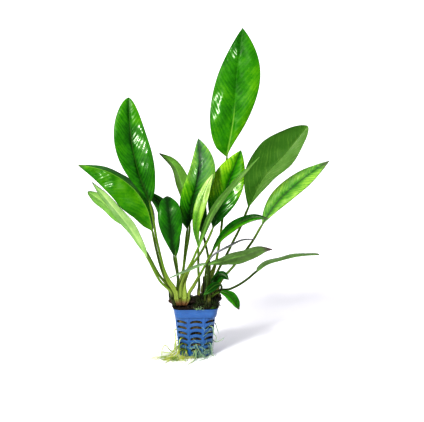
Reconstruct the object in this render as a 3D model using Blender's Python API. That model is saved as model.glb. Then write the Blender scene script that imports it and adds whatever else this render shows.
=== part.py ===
"""Potted anubias: a water plant with lance-shaped leaves, growing in a small square net pot.

The pot stands on its base with its centre at the origin, +Z up, and the side that is seen
in the photograph looks along -Y. Sizes are in millimetres here, and MM turns them to metres
when a mesh is made. Every leaf is one solid: a round stalk that flows into a folded blade.
"""

from math import cos, log, pi, radians, sin, sqrt

import bmesh
import bpy
from mathutils import Vector

MM = 0.001
GAP = 0.3

# Net pot: a rounded square that gets rounder toward its base.
POT_HEIGHT = 54.0
WALL = 1.2
COLLAR_HEIGHT = 9.4
COLLAR_HALF_TOP = 24.0
COLLAR_HALF_BOTTOM = 22.3
COLLAR_CORNER = 9.0
LIP_HEIGHT = 1.5
LIP_OUT = 0.4
BODY_HALF_TOP = 20.8
BODY_HALF_BOTTOM = 16.5
BODY_CORNER_TOP = 11.0
BODY_CORNER_BOTTOM = 13.0
BASE_CHAMFER = 1.4
FLOOR = 1.6

# Slots in the wall: eight columns with a rib between each two, six rows, arched.
COLUMNS = 8
ROWS = 6
SLOT_FIRST = 8.1
SLOT_PITCH = 6.28
SLOT_HEIGHT = 2.6
SLOT_ARCH = 1.3
SLOT_HALF_ANGLE = 18.5
SLOT_CELLS = 4
RIB_HALF_ANGLE = 2.0
RIB_RISE = 0.6
DRAIN_INNER = 7.0
DRAIN_OUTER = 12.0
DRAIN_WIDTH = 3.0

# Growing medium: fills the pot and stands a little over its rim.
MEDIUM_TOP = 57.4
MEDIUM_OVERHANG = 1.4
MEDIUM_SIDES = 32

# Leaf: sides of a ring, and the thicknesses at the midrib and the edge.
STALK_RADIUS = 1.25
FOOT_RADIUS = 1.75
TIP_HALF_WIDTH = 0.5
BLADE_ROUNDNESS = 0.85
MIDRIB_TIP = 0.4
EDGE_HALF = 0.25
FOOT_RISE = 3.0

# Roots
ROOT_RADIUS = 0.55
ROOT_SIDES = 5


def material(name, colour, roughness):
    """A plain Principled material."""
    made = bpy.data.materials.new(name)
    made.use_nodes = True
    shader = made.node_tree.nodes["Principled BSDF"]
    shader.inputs["Base Color"].default_value = (*colour, 1.0)
    shader.inputs["Roughness"].default_value = roughness
    shader.inputs["Metallic"].default_value = 0.0
    made.diffuse_color = (*colour, 1.0)
    return made


def new_object(name, points, faces, finish):
    """One closed mesh object from points in millimetres."""
    mesh = bpy.data.meshes.new(name)
    mesh.from_pydata([Vector(p) * MM for p in points], [], faces)
    work = bmesh.new()
    work.from_mesh(mesh)
    bmesh.ops.recalc_face_normals(work, faces=work.faces)
    work.to_mesh(mesh)
    work.free()
    mesh.materials.append(finish)
    made = bpy.data.objects.new(name, mesh)
    bpy.context.scene.collection.objects.link(made)
    return made


def between(low, high, share):
    """A value a share of the way from low to high."""
    return low + (high - low) * share


def square_radius(angle, half, corner):
    """How far a rounded square's outline is from its centre at an angle."""
    turn = (angle + pi / 4) % (pi / 2) - pi / 4
    straight = half - corner
    side = half / cos(turn)
    if abs(side * sin(turn)) <= straight:
        return side
    away = straight * sqrt(2)
    off = abs(turn) - pi / 4
    return away * cos(off) + sqrt(corner ** 2 - (away * sin(off)) ** 2)


def body_shape(z):
    """Half width and corner radius of the pot's outer wall at a height."""
    share = z / (POT_HEIGHT - COLLAR_HEIGHT)
    half = between(BODY_HALF_BOTTOM, BODY_HALF_TOP, share)
    corner = between(BODY_CORNER_BOTTOM, BODY_CORNER_TOP, share)
    return half, corner


def slot_angles(column):
    """Angles of the upright lines that a slot's cells stand between."""
    centre = radians(360 / COLUMNS) * column
    half = radians(SLOT_HALF_ANGLE)
    return [centre + between(-half, half, i / SLOT_CELLS) for i in range(SLOT_CELLS + 1)]


def rib_angles(column):
    """Angles of the two sides of the rib that follows a column of slots."""
    centre = radians(360 / COLUMNS) * (column + 0.5)
    half = radians(RIB_HALF_ANGLE)
    return [centre - half, centre + half]


def arch(cell):
    """How far a slot's edge rises at one of its upright lines."""
    across = 2 * cell / SLOT_CELLS - 1
    return SLOT_ARCH * (1 - across ** 2) - SLOT_ARCH / 2


def slot_centre(column, row):
    """Angle and height of the middle of a slot."""
    return radians(360 / COLUMNS) * column, SLOT_FIRST + SLOT_PITCH * row + SLOT_ARCH / 2


class Shell:
    """Points and faces of the pot while it is put together."""

    def __init__(self):
        self.points = []
        self.faces = []

    def ring(self, angles, half, corner, z, rises=None, outs=None):
        """A level ring of points, each of which may rise or stand out a little."""
        first = len(self.points)
        for i, angle in enumerate(angles):
            radius = square_radius(angle, half, corner) + (outs[i] if outs else 0.0)
            height = z + (rises[i] if rises else 0.0)
            self.points.append((radius * cos(angle), radius * sin(angle), height))
        return list(range(first, len(self.points)))

    def band(self, low, high, skip=()):
        """Quads between two rings with equal counts."""
        count = len(low)
        for i in range(count):
            if i not in skip:
                j = (i + 1) % count
                self.faces.append((low[i], low[j], high[j], high[i]))


def net_pot(finish):
    """The pot: a slotted tapering wall, a collar with a lip, and a floor with drain holes."""
    shell = Shell()
    slot_lines = SLOT_CELLS + 1
    wall_angles = []
    wall_outs = []
    wall_arch = []
    plain_angles = []
    plain_arch = []
    for column in range(COLUMNS):
        wall_angles += slot_angles(column) + rib_angles(column)
        wall_outs += [0.0] * slot_lines + [RIB_RISE] * 2
        wall_arch += [arch(i) for i in range(slot_lines)] + [arch(0)] * 2
        plain_angles += slot_angles(column)
        plain_arch += [arch(i) for i in range(slot_lines)]
    per_wall = slot_lines + 2
    holes_wall = {c * per_wall + i for c in range(COLUMNS) for i in range(SLOT_CELLS)}
    holes_plain = {c * slot_lines + i for c in range(COLUMNS) for i in range(SLOT_CELLS)}
    collar_z = POT_HEIGHT - COLLAR_HEIGHT

    def wall_ring(z, arched):
        half, corner = body_shape(z)
        return shell.ring(wall_angles, half, corner, z, wall_arch if arched else None, wall_outs)

    def plain_ring(z, arched):
        half, corner = body_shape(z)
        rises = plain_arch if arched else None
        return shell.ring(plain_angles, half - WALL, corner - WALL, z, rises)

    base_half, base_corner = body_shape(0.0)
    base = shell.ring(wall_angles, base_half - BASE_CHAMFER, base_corner - BASE_CHAMFER, 0.0)
    outer = [wall_ring(BASE_CHAMFER, False)]
    inner = [plain_ring(FLOOR, False)]
    for row in range(ROWS):
        middle = SLOT_FIRST + SLOT_PITCH * row
        for z in (middle - SLOT_HEIGHT / 2, middle + SLOT_HEIGHT / 2):
            outer.append(wall_ring(z, True))
            inner.append(plain_ring(z, True))
    outer.append(wall_ring(collar_z, False))
    inner.append(plain_ring(collar_z + WALL, False))

    shell.faces.append(tuple(base))
    shell.faces.append(tuple(inner[0]))
    shell.band(base, outer[0])
    for level in range(len(outer) - 1):
        slotted = level % 2 == 1 and level < 2 * ROWS
        shell.band(outer[level], outer[level + 1], holes_wall if slotted else ())
        shell.band(inner[level], inner[level + 1], holes_plain if slotted else ())
        if not slotted:
            continue
        for column in range(COLUMNS):
            out_low = outer[level][column * per_wall:][:slot_lines]
            out_high = outer[level + 1][column * per_wall:][:slot_lines]
            in_low = inner[level][column * slot_lines:][:slot_lines]
            in_high = inner[level + 1][column * slot_lines:][:slot_lines]
            rim_out = out_low + out_high[::-1]
            rim_in = in_low + in_high[::-1]
            shell.band(rim_out, rim_in)

    collar = [(COLLAR_HALF_BOTTOM, collar_z)]
    lip_z = POT_HEIGHT - LIP_HEIGHT
    under_lip = COLLAR_HALF_TOP - LIP_OUT
    collar += [(under_lip, lip_z), (COLLAR_HALF_TOP, lip_z + LIP_OUT), (COLLAR_HALF_TOP, POT_HEIGHT)]
    collar += [(COLLAR_HALF_TOP - WALL - LIP_OUT, POT_HEIGHT)]
    collar += [(COLLAR_HALF_BOTTOM - WALL, collar_z + WALL)]
    rings = []
    for half, z in collar:
        rings.append(shell.ring(plain_angles, half, COLLAR_CORNER, z))
    for low, high in zip(rings, rings[1:]):
        shell.band(low, high)
    shell.band(rings[-1], inner[-1])
    for column in range(COLUMNS):
        wall = outer[-1]
        edge = rings[0]
        for i in range(SLOT_CELLS):
            a = column * per_wall + i
            b = column * slot_lines + i
            shell.faces.append((wall[a], wall[a + 1], edge[b + 1], edge[b]))
        a = column * per_wall + SLOT_CELLS
        b = column * slot_lines + SLOT_CELLS
        around = [wall[(a + i) % len(wall)] for i in range(4)]
        shell.faces.append((*around, edge[(b + 1) % len(edge)], edge[b]))

    pot = new_object("net_pot", shell.points, shell.faces, finish)
    drains = drain_cutter(finish)
    cut = pot.modifiers.new("drain holes", "BOOLEAN")
    cut.operation = "DIFFERENCE"
    cut.solver = "EXACT"
    cut.object = drains
    return pot


def drain_cutter(finish):
    """Eight bars that cut the drain holes in the floor."""
    points = []
    faces = []
    for column in range(COLUMNS):
        angle = radians(360 / COLUMNS) * column
        along = Vector((cos(angle), sin(angle), 0.0))
        aside = Vector((-sin(angle), cos(angle), 0.0)) * DRAIN_WIDTH / 2
        first = len(points)
        for z in (-FLOOR, 2 * FLOOR):
            for far, side in ((DRAIN_INNER, -1), (DRAIN_OUTER, -1), (DRAIN_OUTER, 1), (DRAIN_INNER, 1)):
                points.append(along * far + aside * side + Vector((0.0, 0.0, z)))
        for face in ((0, 3, 2, 1), (4, 5, 6, 7), (0, 1, 5, 4), (1, 2, 6, 5), (2, 3, 7, 6), (3, 0, 4, 7)):
            faces.append(tuple(first + i for i in face))
    cutter = new_object("drain_cutter", points, faces, finish)
    cutter.hide_render = True
    cutter.display_type = "WIRE"
    return cutter


def growing_medium(finish):
    """The dark medium: the pot's inner form, with an uneven mound over the rim."""
    collar_z = POT_HEIGHT - COLLAR_HEIGHT
    clear = WALL + GAP + 0.05
    body_low = body_shape(FLOOR + GAP)
    body_high = body_shape(collar_z)
    step_z = collar_z + WALL + GAP
    over = COLLAR_HALF_TOP + MEDIUM_OVERHANG
    rim = POT_HEIGHT + GAP
    levels = [
        (body_low[0] - clear, body_low[1] - clear, FLOOR + GAP, 0.0),
        (body_high[0] - clear, body_high[1] - clear, step_z, 0.0),
        (COLLAR_HALF_BOTTOM - clear, COLLAR_CORNER, step_z, 0.0),
        (COLLAR_HALF_TOP - clear - LIP_OUT, COLLAR_CORNER, rim, 0.0),
        (over, COLLAR_CORNER, rim, 0.35),
        (over + 0.3, COLLAR_CORNER, between(rim, MEDIUM_TOP, 0.55), 0.7),
        (COLLAR_HALF_TOP - 2.0, COLLAR_CORNER, MEDIUM_TOP, 0.8),
    ]
    shell = Shell()
    angles = [2 * pi * i / MEDIUM_SIDES for i in range(MEDIUM_SIDES)]
    rings = []
    for half, corner, z, rough in levels:
        outs = [rough * sin(5 * a + 1.0) * cos(3 * a) for a in angles]
        rings.append(shell.ring(angles, half, corner, z, None, outs))
    for low, high in zip(rings, rings[1:]):
        shell.band(low, high)
    shell.faces.append(tuple(rings[0]))
    shell.faces.append(tuple(rings[-1]))
    return new_object("growing_medium", shell.points, shell.faces, finish)


# Rhizomes: creeping stems that lie on the medium. Ends in x, middle in y, half depth, half height.
RHIZOMES = {
    "rhizome_left": dict(ends=(-29.5, 5.5), middle=-13.5, depth=6.6, height=4.3),
    "rhizome_right": dict(ends=(8.5, 29.0), middle=-3.2, depth=5.0, height=4.0),
    "rhizome_back": dict(ends=(4.0, 29.5), middle=9.5, depth=6.0, height=4.2),
}
RHIZOME_SIDES = 8
RHIZOME_STATIONS = 8


def rhizome_scale(spec, x):
    """How thick a rhizome is at x, as a share of its full thickness: blunt round ends."""
    left, right = spec["ends"]
    along = abs(2 * (x - left) / (right - left) - 1)
    return max(0.0, 1 - min(along, 1.0) ** 4) ** 0.5


def rhizome_top(spec, x, y):
    """Height of a rhizome's upper surface over a point, or its middle height beside it."""
    scale = rhizome_scale(spec, x)
    middle_z = MEDIUM_TOP + GAP + spec["height"]
    across = (y - spec["middle"]) / (spec["depth"] * scale) if scale > 0 else 2.0
    if abs(across) >= 1:
        return middle_z
    return middle_z + spec["height"] * scale * sqrt(1 - across ** 2)


def rhizome(name, spec, finish):
    """One creeping stem with blunt ends, lying along X."""
    left, right = spec["ends"]
    middle_z = MEDIUM_TOP + GAP + spec["height"]
    rows = []
    points = []
    for station in range(RHIZOME_STATIONS):
        x = between(left, right, 0.5 - 0.495 * cos(pi * station / (RHIZOME_STATIONS - 1)))
        scale = rhizome_scale(spec, x)
        rows.append([])
        for side in range(RHIZOME_SIDES):
            turn = 2 * pi * side / RHIZOME_SIDES
            y = spec["middle"] + spec["depth"] * scale * cos(turn)
            z = middle_z + spec["height"] * scale * sin(turn)
            rows[-1].append(len(points))
            points.append((x, y, z))
    return new_object(name, points, tube_faces(rows), finish)


def tube_faces(rows):
    """Faces of a closed tube made of equal rings, with both ends capped."""
    faces = [tuple(rows[0]), tuple(rows[-1])]
    for low, high in zip(rows, rows[1:]):
        count = len(low)
        for i in range(count):
            j = (i + 1) % count
            faces.append((low[i], low[j], high[j], high[i]))
    return faces


# Leaves. on: what a stalk grows from, foot: where on it, stalk: points that the stalk passes,
# blade: points of the midrib from the blade's start to its tip, width: across the blade, face:
# the way its upper side looks, fold: how far each half is raised in degrees (below nought it
# hangs), widest: how far along the blade it is widest, skew: how much sooner the left half is
# widest than the right, slim_left: width of the left half as a share of the right's, blunt:
# BLADE_ROUNDNESS at the tip, where less is blunter.
LEAVES = {
    "leaf_tallest": dict(
        on="rhizome_back", foot=(15.5, 11.5), stalk=[(24, 13, 99), (31, 17, 143), (34, 22, 179)],
        blade=[(37, 26, 212), (44, 31, 250), (49, 40, 303), (56, 50, 350)],
        width=52, face=(-0.1, -1, 0.2), fold=6, widest=0.48, skew=0.13),
    "leaf_tall_left": dict(
        on="rhizome_left", foot=(-20.8, -17.4), stalk=[(-29.5, -15.5, 85), (-40, -10, 122)],
        blade=[(-48, -4, 166), (-58, 0, 193), (-66, 6, 226), (-69, 18, 277)],
        width=39, face=(0.1, -1, 0.15), fold=16, widest=0.51, skew=-0.08, blunt=0.6),
    "leaf_broad_left": dict(
        on="rhizome_left", foot=(-22.3, -10.3), stalk=[(-33, -3, 87), (-41, 6, 114)],
        blade=[(-45, 12, 134), (-51, 16, 158), (-61, 20, 174), (-87, 26, 194), (-124, 30, 204)],
        width=46, face=(0.31, -0.71, 0.60), fold=-35, widest=0.42),
    "leaf_narrow_left": dict(
        on="rhizome_left", foot=(-25.5, -15.5), stalk=[(-38, -21, 85)],
        blade=[(-51, -27, 111), (-67, -33, 141), (-87, -38, 168), (-108, -41, 194)],
        width=25, face=(0.62, 0.5, 0.55), fold=5, widest=0.50),
    "leaf_low_left": dict(
        on="rhizome_left", foot=(-26.8, -9.5), stalk=[(-40, -13, 92), (-52, -15, 115)],
        blade=[(-64, -17, 134), (-79, -18, 150), (-96, -20, 169), (-113, -23, 182)],
        width=23, face=(0.5, 0.7, 0.5), fold=8, widest=0.66, blunt=0.6),
    "leaf_behind_left": dict(
        on="rhizome_left", foot=(-17.6, -9.4), stalk=[(-18, -2, 82)],
        blade=[(-20, 7, 106), (-24, 15, 132), (-35, 24, 160), (-56, 32, 177)],
        width=20, face=(0.3, -0.8, 0.6), fold=10, widest=0.45),
    "leaf_rear_pale": dict(
        on="rhizome_left", foot=(-13.4, -9.2), stalk=[(-13.4, -3, 84), (-10.1, 8, 103)],
        blade=[(-4, 22, 138), (-11, 32, 179), (-21, 36, 203), (-36, 38, 215)],
        width=24, face=(0.55, 0.6, 0.5), fold=12, widest=0.50),
    "leaf_dark_front": dict(
        on="rhizome_left", foot=(-18.9, -13.3), stalk=[(-19.8, -18.8, 77), (-19.5, -24, 87)],
        blade=[(-24, -30, 113), (-27, -32, 144), (-29, -28, 165), (-30, -16, 175)],
        width=26, face=(0.05, -1, 0.1), fold=10, widest=0.60, blunt=0.6),
    "leaf_middle": dict(
        on="rhizome_left", foot=(-14.6, -13.2), stalk=[(-14.3, -11.5, 82), (-12.4, -9, 99)],
        blade=[(-8, -3, 138), (-3, 1, 165), (5, 8, 198), (5, 16, 233)],
        width=37, face=(0.05, -1, 0.15), fold=20, widest=0.49, skew=0.12, slim_left=0.80),
    "leaf_yellow_right": dict(
        on="rhizome_left", foot=(-12.2, -17.2), stalk=[(-13.2, -15.2, 81), (-8.2, -12, 93), (6.2, -4, 112)],
        blade=[(20, 6, 137), (25, 9, 152), (39, 17, 188), (52, 24, 219)],
        width=37, face=(-0.2, -0.95, 0.2), fold=16, widest=0.52),
    "leaf_pale_middle": dict(
        on="rhizome_left", foot=(3.4, -11.0), stalk=[(4, -11, 79), (3, -12, 94)],
        blade=[(3, -12, 117), (1, -11, 142), (6, -9, 166), (13, -7, 185), (20, -5, 198)],
        width=13, face=(-0.28, -0.9, 0.33), fold=5, widest=0.58),
    "leaf_diagonal": dict(
        on="rhizome_left", foot=(-16.5, -17.9),
        stalk=[(-15.7, -18.6, 82), (-10, -19.5, 95), (-4.7, -20.5, 105)],
        blade=[(2, -22.5, 121), (17, -28, 160), (42, -36, 194), (64, -44, 219)],
        width=14, face=(-0.6, 0.62, 0.4), fold=0, widest=0.42),
    "leaf_big_right": dict(
        on="rhizome_back", foot=(21.0, 11.8), stalk=[(38, 6, 114), (49, 1, 138)],
        blade=[(57, -4, 160), (72, -11, 193), (95, -18, 220), (117, -24, 249)],
        width=53, face=(-0.33, 0.83, 0.21), fold=27, widest=0.55, blunt=0.65),
    "leaf_narrow_right": dict(
        on="rhizome_back", foot=(25.0, 7.5), stalk=[(43, 8, 95), (64, 8, 123)],
        blade=[(74, 9, 140), (93, 12, 166), (119, 16, 188), (148, 20, 207)],
        width=24, face=(-0.35, -0.85, 0.45), fold=12, widest=0.48, skew=0.05),
    "leaf_arching": dict(
        on="rhizome_left", foot=(-7.8, -17.7), stalk=[(-2, -19, 80), (7.7, -21, 98)],
        blade=[(16, -24, 115), (30, -32, 137), (48, -40, 151), (63, -46, 156), (73, -49, 155)],
        width=15, face=(-0.6, -0.5, 0.62), fold=12, widest=0.50),
    "leaf_edge_on": dict(
        on="rhizome_right", foot=(11.3, -2.0), stalk=[(12, -2, 93)],
        blade=[(15, -3, 104), (38, -8, 120), (50, -10, 126), (63, -12, 127)],
        width=9, face=(-0.5, 0.1, 0.86), fold=10, widest=0.50),
    "leaf_low_right": dict(
        on="growing_medium", foot=(13.8, -19.8), stalk=[(14.3, -21.5, 78), (13.6, -26, 93)],
        blade=[(11, -32, 103), (27, -40, 110), (49, -50, 118), (66, -57, 125), (76, -62, 125)],
        width=26, face=(-0.1, 0.62, 0.7), fold=-6, widest=0.52),
    "leaf_thin_left": dict(
        on="growing_medium", foot=(9.4, -18.6), stalk=[(11.6, -24, 81), (11.8, -31, 94)],
        blade=[(9, -38, 106), (-8, -42, 101), (-29, -48, 94)],
        width=9, face=(-0.3, 0.5, 0.8), fold=10, widest=0.40),
    "leaf_far_right": dict(
        on="rhizome_right", foot=(25.0, -4.0), stalk=[(37, -9, 73), (56, -14, 85)],
        blade=[(65, -18, 94), (75, -22, 102), (89, -26, 107), (108, -31, 112), (129, -36, 114)],
        width=20, face=(-0.3, 0.4, 0.85), fold=10, widest=0.33, blunt=0.3),
    "leaf_drooping": dict(
        on="growing_medium", foot=(11.5, -15.0), stalk=[(17, -17, 67)],
        blade=[(24, -20, 72), (34, -24, 70), (40, -27, 64), (45, -30, 55)],
        width=14, face=(0.5, -0.7, 0.5), fold=10, widest=0.55),
    "leaf_small_crown": dict(
        on="growing_medium", foot=(9.0, -10.5), stalk=[(11, -12, 66)],
        blade=[(13, -12, 71), (22, -13, 84), (28, -14.5, 89), (35, -18, 85)],
        width=12, face=(-0.2, -0.7, 0.7), fold=10, widest=0.60),
    "leaf_crown_front": dict(
        on="rhizome_right", foot=(20.5, -5.5), stalk=[(26, -12, 71), (27.5, -17, 77.5)],
        blade=[(25.5, -21, 80.5), (20.5, -25, 80.5), (14.5, -28, 77), (7, -30, 71)],
        width=9, face=(0.1, -0.8, 0.7), fold=10, widest=0.45),
    "leaf_hidden_middle": dict(
        on="rhizome_back", foot=(9.5, 9.0), stalk=[(17, 12, 91), (15, 14, 107)],
        blade=[(11, 16, 126), (8, 18, 150), (10, 20, 177)],
        width=14, face=(-0.3, -0.9, 0.3), fold=10, widest=0.50),
}


def smooth_path(points, per_span):
    """A smooth curve through points, as a list of closely spaced points."""
    spans = [(b - a).length for a, b in zip(points, points[1:])]
    slopes = [(b - a) / span for a, b, span in zip(points, points[1:], spans)]
    tangents = [slopes[0]]
    for i in range(1, len(points) - 1):
        before, after = spans[i - 1], spans[i]
        tangents.append((slopes[i - 1] * after + slopes[i] * before) / (before + after))
    tangents.append(slopes[-1] * 1.5 - tangents[-1] * 0.5)
    curve = []
    for i, span in enumerate(spans):
        for step in range(per_span):
            t = step / per_span
            curve.append(
                points[i] * (1 - 3 * t ** 2 + 2 * t ** 3)
                + points[i + 1] * (3 * t ** 2 - 2 * t ** 3)
                + tangents[i] * span * (t - 2 * t ** 2 + t ** 3)
                + tangents[i + 1] * span * (t ** 3 - t ** 2)
            )
    curve.append(points[-1])
    return curve


class Path:
    """A smooth curve that can be read by its length."""

    def __init__(self, points):
        self.curve = smooth_path([Vector(p) for p in points], 12)
        self.lengths = [0.0]
        for a, b in zip(self.curve, self.curve[1:]):
            self.lengths.append(self.lengths[-1] + (b - a).length)

    def at(self, length):
        """The point at a length along the curve."""
        length = min(max(length, 0.0), self.lengths[-1])
        for i in range(1, len(self.lengths)):
            if length <= self.lengths[i]:
                share = (length - self.lengths[i - 1]) / (self.lengths[i] - self.lengths[i - 1])
                return self.curve[i - 1].lerp(self.curve[i], share)
        return self.curve[-1]

    def along(self, length):
        """The direction of the curve at a length."""
        return (self.at(length + 0.5) - self.at(length - 0.5)).normalized()


def blade_half_width(spec, share, side):
    """Width of one half of the blade (side -1 left, 1 right) at a share of its length."""
    widest = spec["widest"] + side * spec.get("skew", 0.0)
    power = log(0.5) / log(widest)
    roundness = between(BLADE_ROUNDNESS, spec.get("blunt", BLADE_ROUNDNESS), share)
    half = spec["width"] / 2 * max(0.0, sin(pi * share ** power)) ** roundness
    if side < 0:
        half *= spec.get("slim_left", 1.0)
    return max(half, TIP_HALF_WIDTH)


def foot_point(spec):
    """Where a stalk stands: a gap above what it grows from."""
    x, y = spec["foot"]
    if spec["on"] == "growing_medium":
        return Vector((x, y, MEDIUM_TOP + GAP))
    under = RHIZOMES[spec["on"]]
    heights = [rhizome_top(under, x, y)]
    for step in range(6):
        turn = step * pi / 3
        heights.append(rhizome_top(under, x + FOOT_RADIUS * cos(turn), y + FOOT_RADIUS * sin(turn)))
    return Vector((x, y, max(heights) + GAP))


def stalk_ring(centre, ahead, face, radius):
    """Six points round a stalk."""
    up = (face - ahead * face.dot(ahead)).normalized()
    side = ahead.cross(up)
    ring = []
    for degrees in (30, 90, 150, 210, 270, 330):
        turn = radians(degrees)
        ring.append(centre + side * radius * cos(turn) + up * radius * sin(turn))
    return ring


def blade_ring(centre, ahead, face, left_half, right_half, fold, midrib):
    """Six points round a blade: its two edges and its midrib, above and below."""
    up = (face - ahead * face.dot(ahead)).normalized()
    side = ahead.cross(up)
    out = side * cos(radians(fold))
    rise = up * sin(radians(fold))
    edge = up * EDGE_HALF
    rib = up * midrib
    right = centre + (rise + out) * right_half
    left = centre + (rise - out) * left_half
    return [right + edge, centre + rib, left + edge, left - edge, centre - rib, right - edge]


def leaf(name, spec, finish):
    """One leaf: a stalk that flows into a folded blade."""
    foot = foot_point(spec)
    face = Vector(spec["face"]).normalized()
    stalk = [foot, foot + Vector((0, 0, FOOT_RISE))] + [Vector(p) for p in spec["stalk"]]
    start = Vector(spec["blade"][0])
    path = Path(stalk + [Vector(p) for p in spec["blade"]])
    blade_at = min(path.lengths, key=lambda n: (path.at(n) - start).length)
    total = path.lengths[-1]
    big = spec["width"] > 30
    stalk_parts = 5 if blade_at > 60 else 4
    blade_parts = 8 if big else 6
    rows = []
    points = []

    def add(ring):
        rows.append(list(range(len(points), len(points) + len(ring))))
        points.extend(ring)

    add(stalk_ring(foot, Vector((0, 0, 1)), face, FOOT_RADIUS))
    for part in range(stalk_parts):
        share = part / stalk_parts
        length = FOOT_RISE + (blade_at - FOOT_RISE) * share
        radius = between(FOOT_RADIUS, STALK_RADIUS, min(1.0, 2.5 * share))
        add(stalk_ring(path.at(length), path.along(length), face, radius))
    add(stalk_ring(path.at(blade_at), path.along(blade_at), face, STALK_RADIUS))
    for part in range(1, blade_parts + 1):
        share = (part / blade_parts) ** 1.15
        length = between(blade_at, total, share)
        left = blade_half_width(spec, share, -1)
        right = blade_half_width(spec, share, 1)
        midrib = between(STALK_RADIUS, MIDRIB_TIP, share ** 0.6)
        add(blade_ring(path.at(length), path.along(length), face, left, right, spec["fold"], midrib))
    return new_object(name, points, tube_faces(rows), finish)


# Old stalks: dark stumps with no leaf left.
OLD_STALKS = {
    "old_stalk": dict(on="rhizome_back", foot=(9.6, 5.2), way=[(10, 4, 75), (10, 2, 84.5)]),
}


def old_stalk(name, spec, finish):
    """One cut-off stalk."""
    foot = foot_point(spec)
    path = Path([foot] + [Vector(p) for p in spec["way"]])
    rows = []
    points = []
    for part in range(4):
        length = path.lengths[-1] * part / 3
        ahead = path.along(length) if part else Vector((0, 0, 1))
        rows.append(list(range(len(points), len(points) + 6)))
        points += stalk_ring(path.at(length), ahead, Vector((0, -1, 0)), STALK_RADIUS)
    return new_object(name, points, tube_faces(rows), finish)


# Roots that grow out of the slots. slot: column and row, where column 6 looks along -Y and
# column 4 along -X; way: points that the root passes.
ROOTS = {
    "root_long_left": dict(
        slot=(5, 0), way=[(-22, -17, 3), (-31, -19, 1.4), (-41, -20, 2.6), (-50, -20, 1)]),
    "root_loop_left": dict(
        slot=(4, 0), way=[(-25, -7, 5), (-34, -13, 13), (-36.5, -15, 9), (-36.5, -16.5, 1)]),
    "root_low_left": dict(
        slot=(4, 1), way=[(-23, -7, 7), (-28, -10, 1.2), (-36, -12, 1)]),
    "root_side_left": dict(
        slot=(4, 3), way=[(-21.5, -7, 22), (-21.5, -10, 14), (-23, -13, 5), (-27, -16, 1.2)]),
    "root_corner_left": dict(
        slot=(5, 2), way=[(-19, -20, 9), (-24, -24, 1.2), (-30, -30, 1), (-34, -42, 1)]),
    "root_front_left": dict(
        slot=(5, 1), way=[(-19.5, -19, 6), (-16, -24, 2), (-11.5, -32, 1)]),
    "root_front_middle": dict(
        slot=(6, 0), way=[(-0.5, -24, 2.6), (-3.5, -33, 1), (-11, -48, 1)]),
    "root_front_right": dict(
        slot=(6, 1), way=[(4, -21, 7), (9, -23.5, 1.5), (6, -29, 1), (0.5, -31.5, 1)]),
    "root_base_right": dict(
        slot=(7, 1), way=[(16.5, -17.5, 8), (18, -18, 3), (19.5, -18.5, 0.8)]),
    "root_side_right": dict(
        slot=(7, 4), way=[(19, -16.5, 27), (22.3, -12, 20), (21.5, -10, 14.5)]),
    "root_twig_right": dict(
        slot=(0, 1), way=[(22, -4, 13.5), (25.5, -6, 15), (31, -8, 19.5)]),
    "root_wisp_right": dict(
        slot=(0, 4), way=[(23.5, -3, 28.5), (25, -5, 23)]),
}


def root(name, spec, finish):
    """One root: from the medium, through a slot, and along its way."""
    column, row = spec["slot"]
    angle, z = slot_centre(column, row)
    half, corner = body_shape(z)
    wall = square_radius(angle, half, corner)
    start = wall - WALL + 0.1
    out = Vector((cos(angle), sin(angle), 0.0))
    lift = Vector((0.0, 0.0, z))
    points = [out * start + lift, out * (wall + 1.6) + lift]
    path = Path(points + [Vector(p) for p in spec["way"]])
    total = path.lengths[-1]
    parts = max(5, round(total / 5.5))
    rows = []
    ring_points = []
    for part in range(parts + 1):
        length = total * part / parts
        ahead = out if part == 0 else path.along(length)
        up = Vector((0, 0, 1)) if abs(ahead.z) < 0.9 else out
        up = (up - ahead * up.dot(ahead)).normalized()
        side = ahead.cross(up)
        radius = ROOT_RADIUS * between(1.0, 0.6, part / parts)
        rows.append([])
        for i in range(ROOT_SIDES):
            turn = 2 * pi * i / ROOT_SIDES
            rows[-1].append(len(ring_points))
            ring_points.append(path.at(length) + side * radius * cos(turn) + up * radius * sin(turn))
    return new_object(name, ring_points, tube_faces(rows), finish)


def build():
    """Clears the scene and makes every piece."""
    for old in list(bpy.data.objects):
        bpy.data.objects.remove(old, do_unlink=True)
    blue = material("blue_plastic", (0.055, 0.19, 0.50), 0.42)
    dark = material("dark_medium", (0.02, 0.016, 0.01), 0.95)
    brown = material("rhizome_brown", (0.19, 0.08, 0.03), 0.7)
    green = material("leaf_green", (0.05, 0.26, 0.01), 0.35)
    pale = material("root_green", (0.48, 0.52, 0.10), 0.6)
    net_pot(blue)
    growing_medium(dark)
    for name, spec in RHIZOMES.items():
        rhizome(name, spec, brown)
    for name, spec in LEAVES.items():
        leaf(name, spec, green)
    for name, spec in OLD_STALKS.items():
        old_stalk(name, spec, brown)
    for name, spec in ROOTS.items():
        root(name, spec, pale)


build()
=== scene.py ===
"""Potted anubias: leaves with veins and sheaths, creeping stems, roots, dark growing medium with
wool and moss, and a slotted net pot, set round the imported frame.

Sizes are in millimetres in this file, and MM turns them to metres when a mesh is made.
"""

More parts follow.
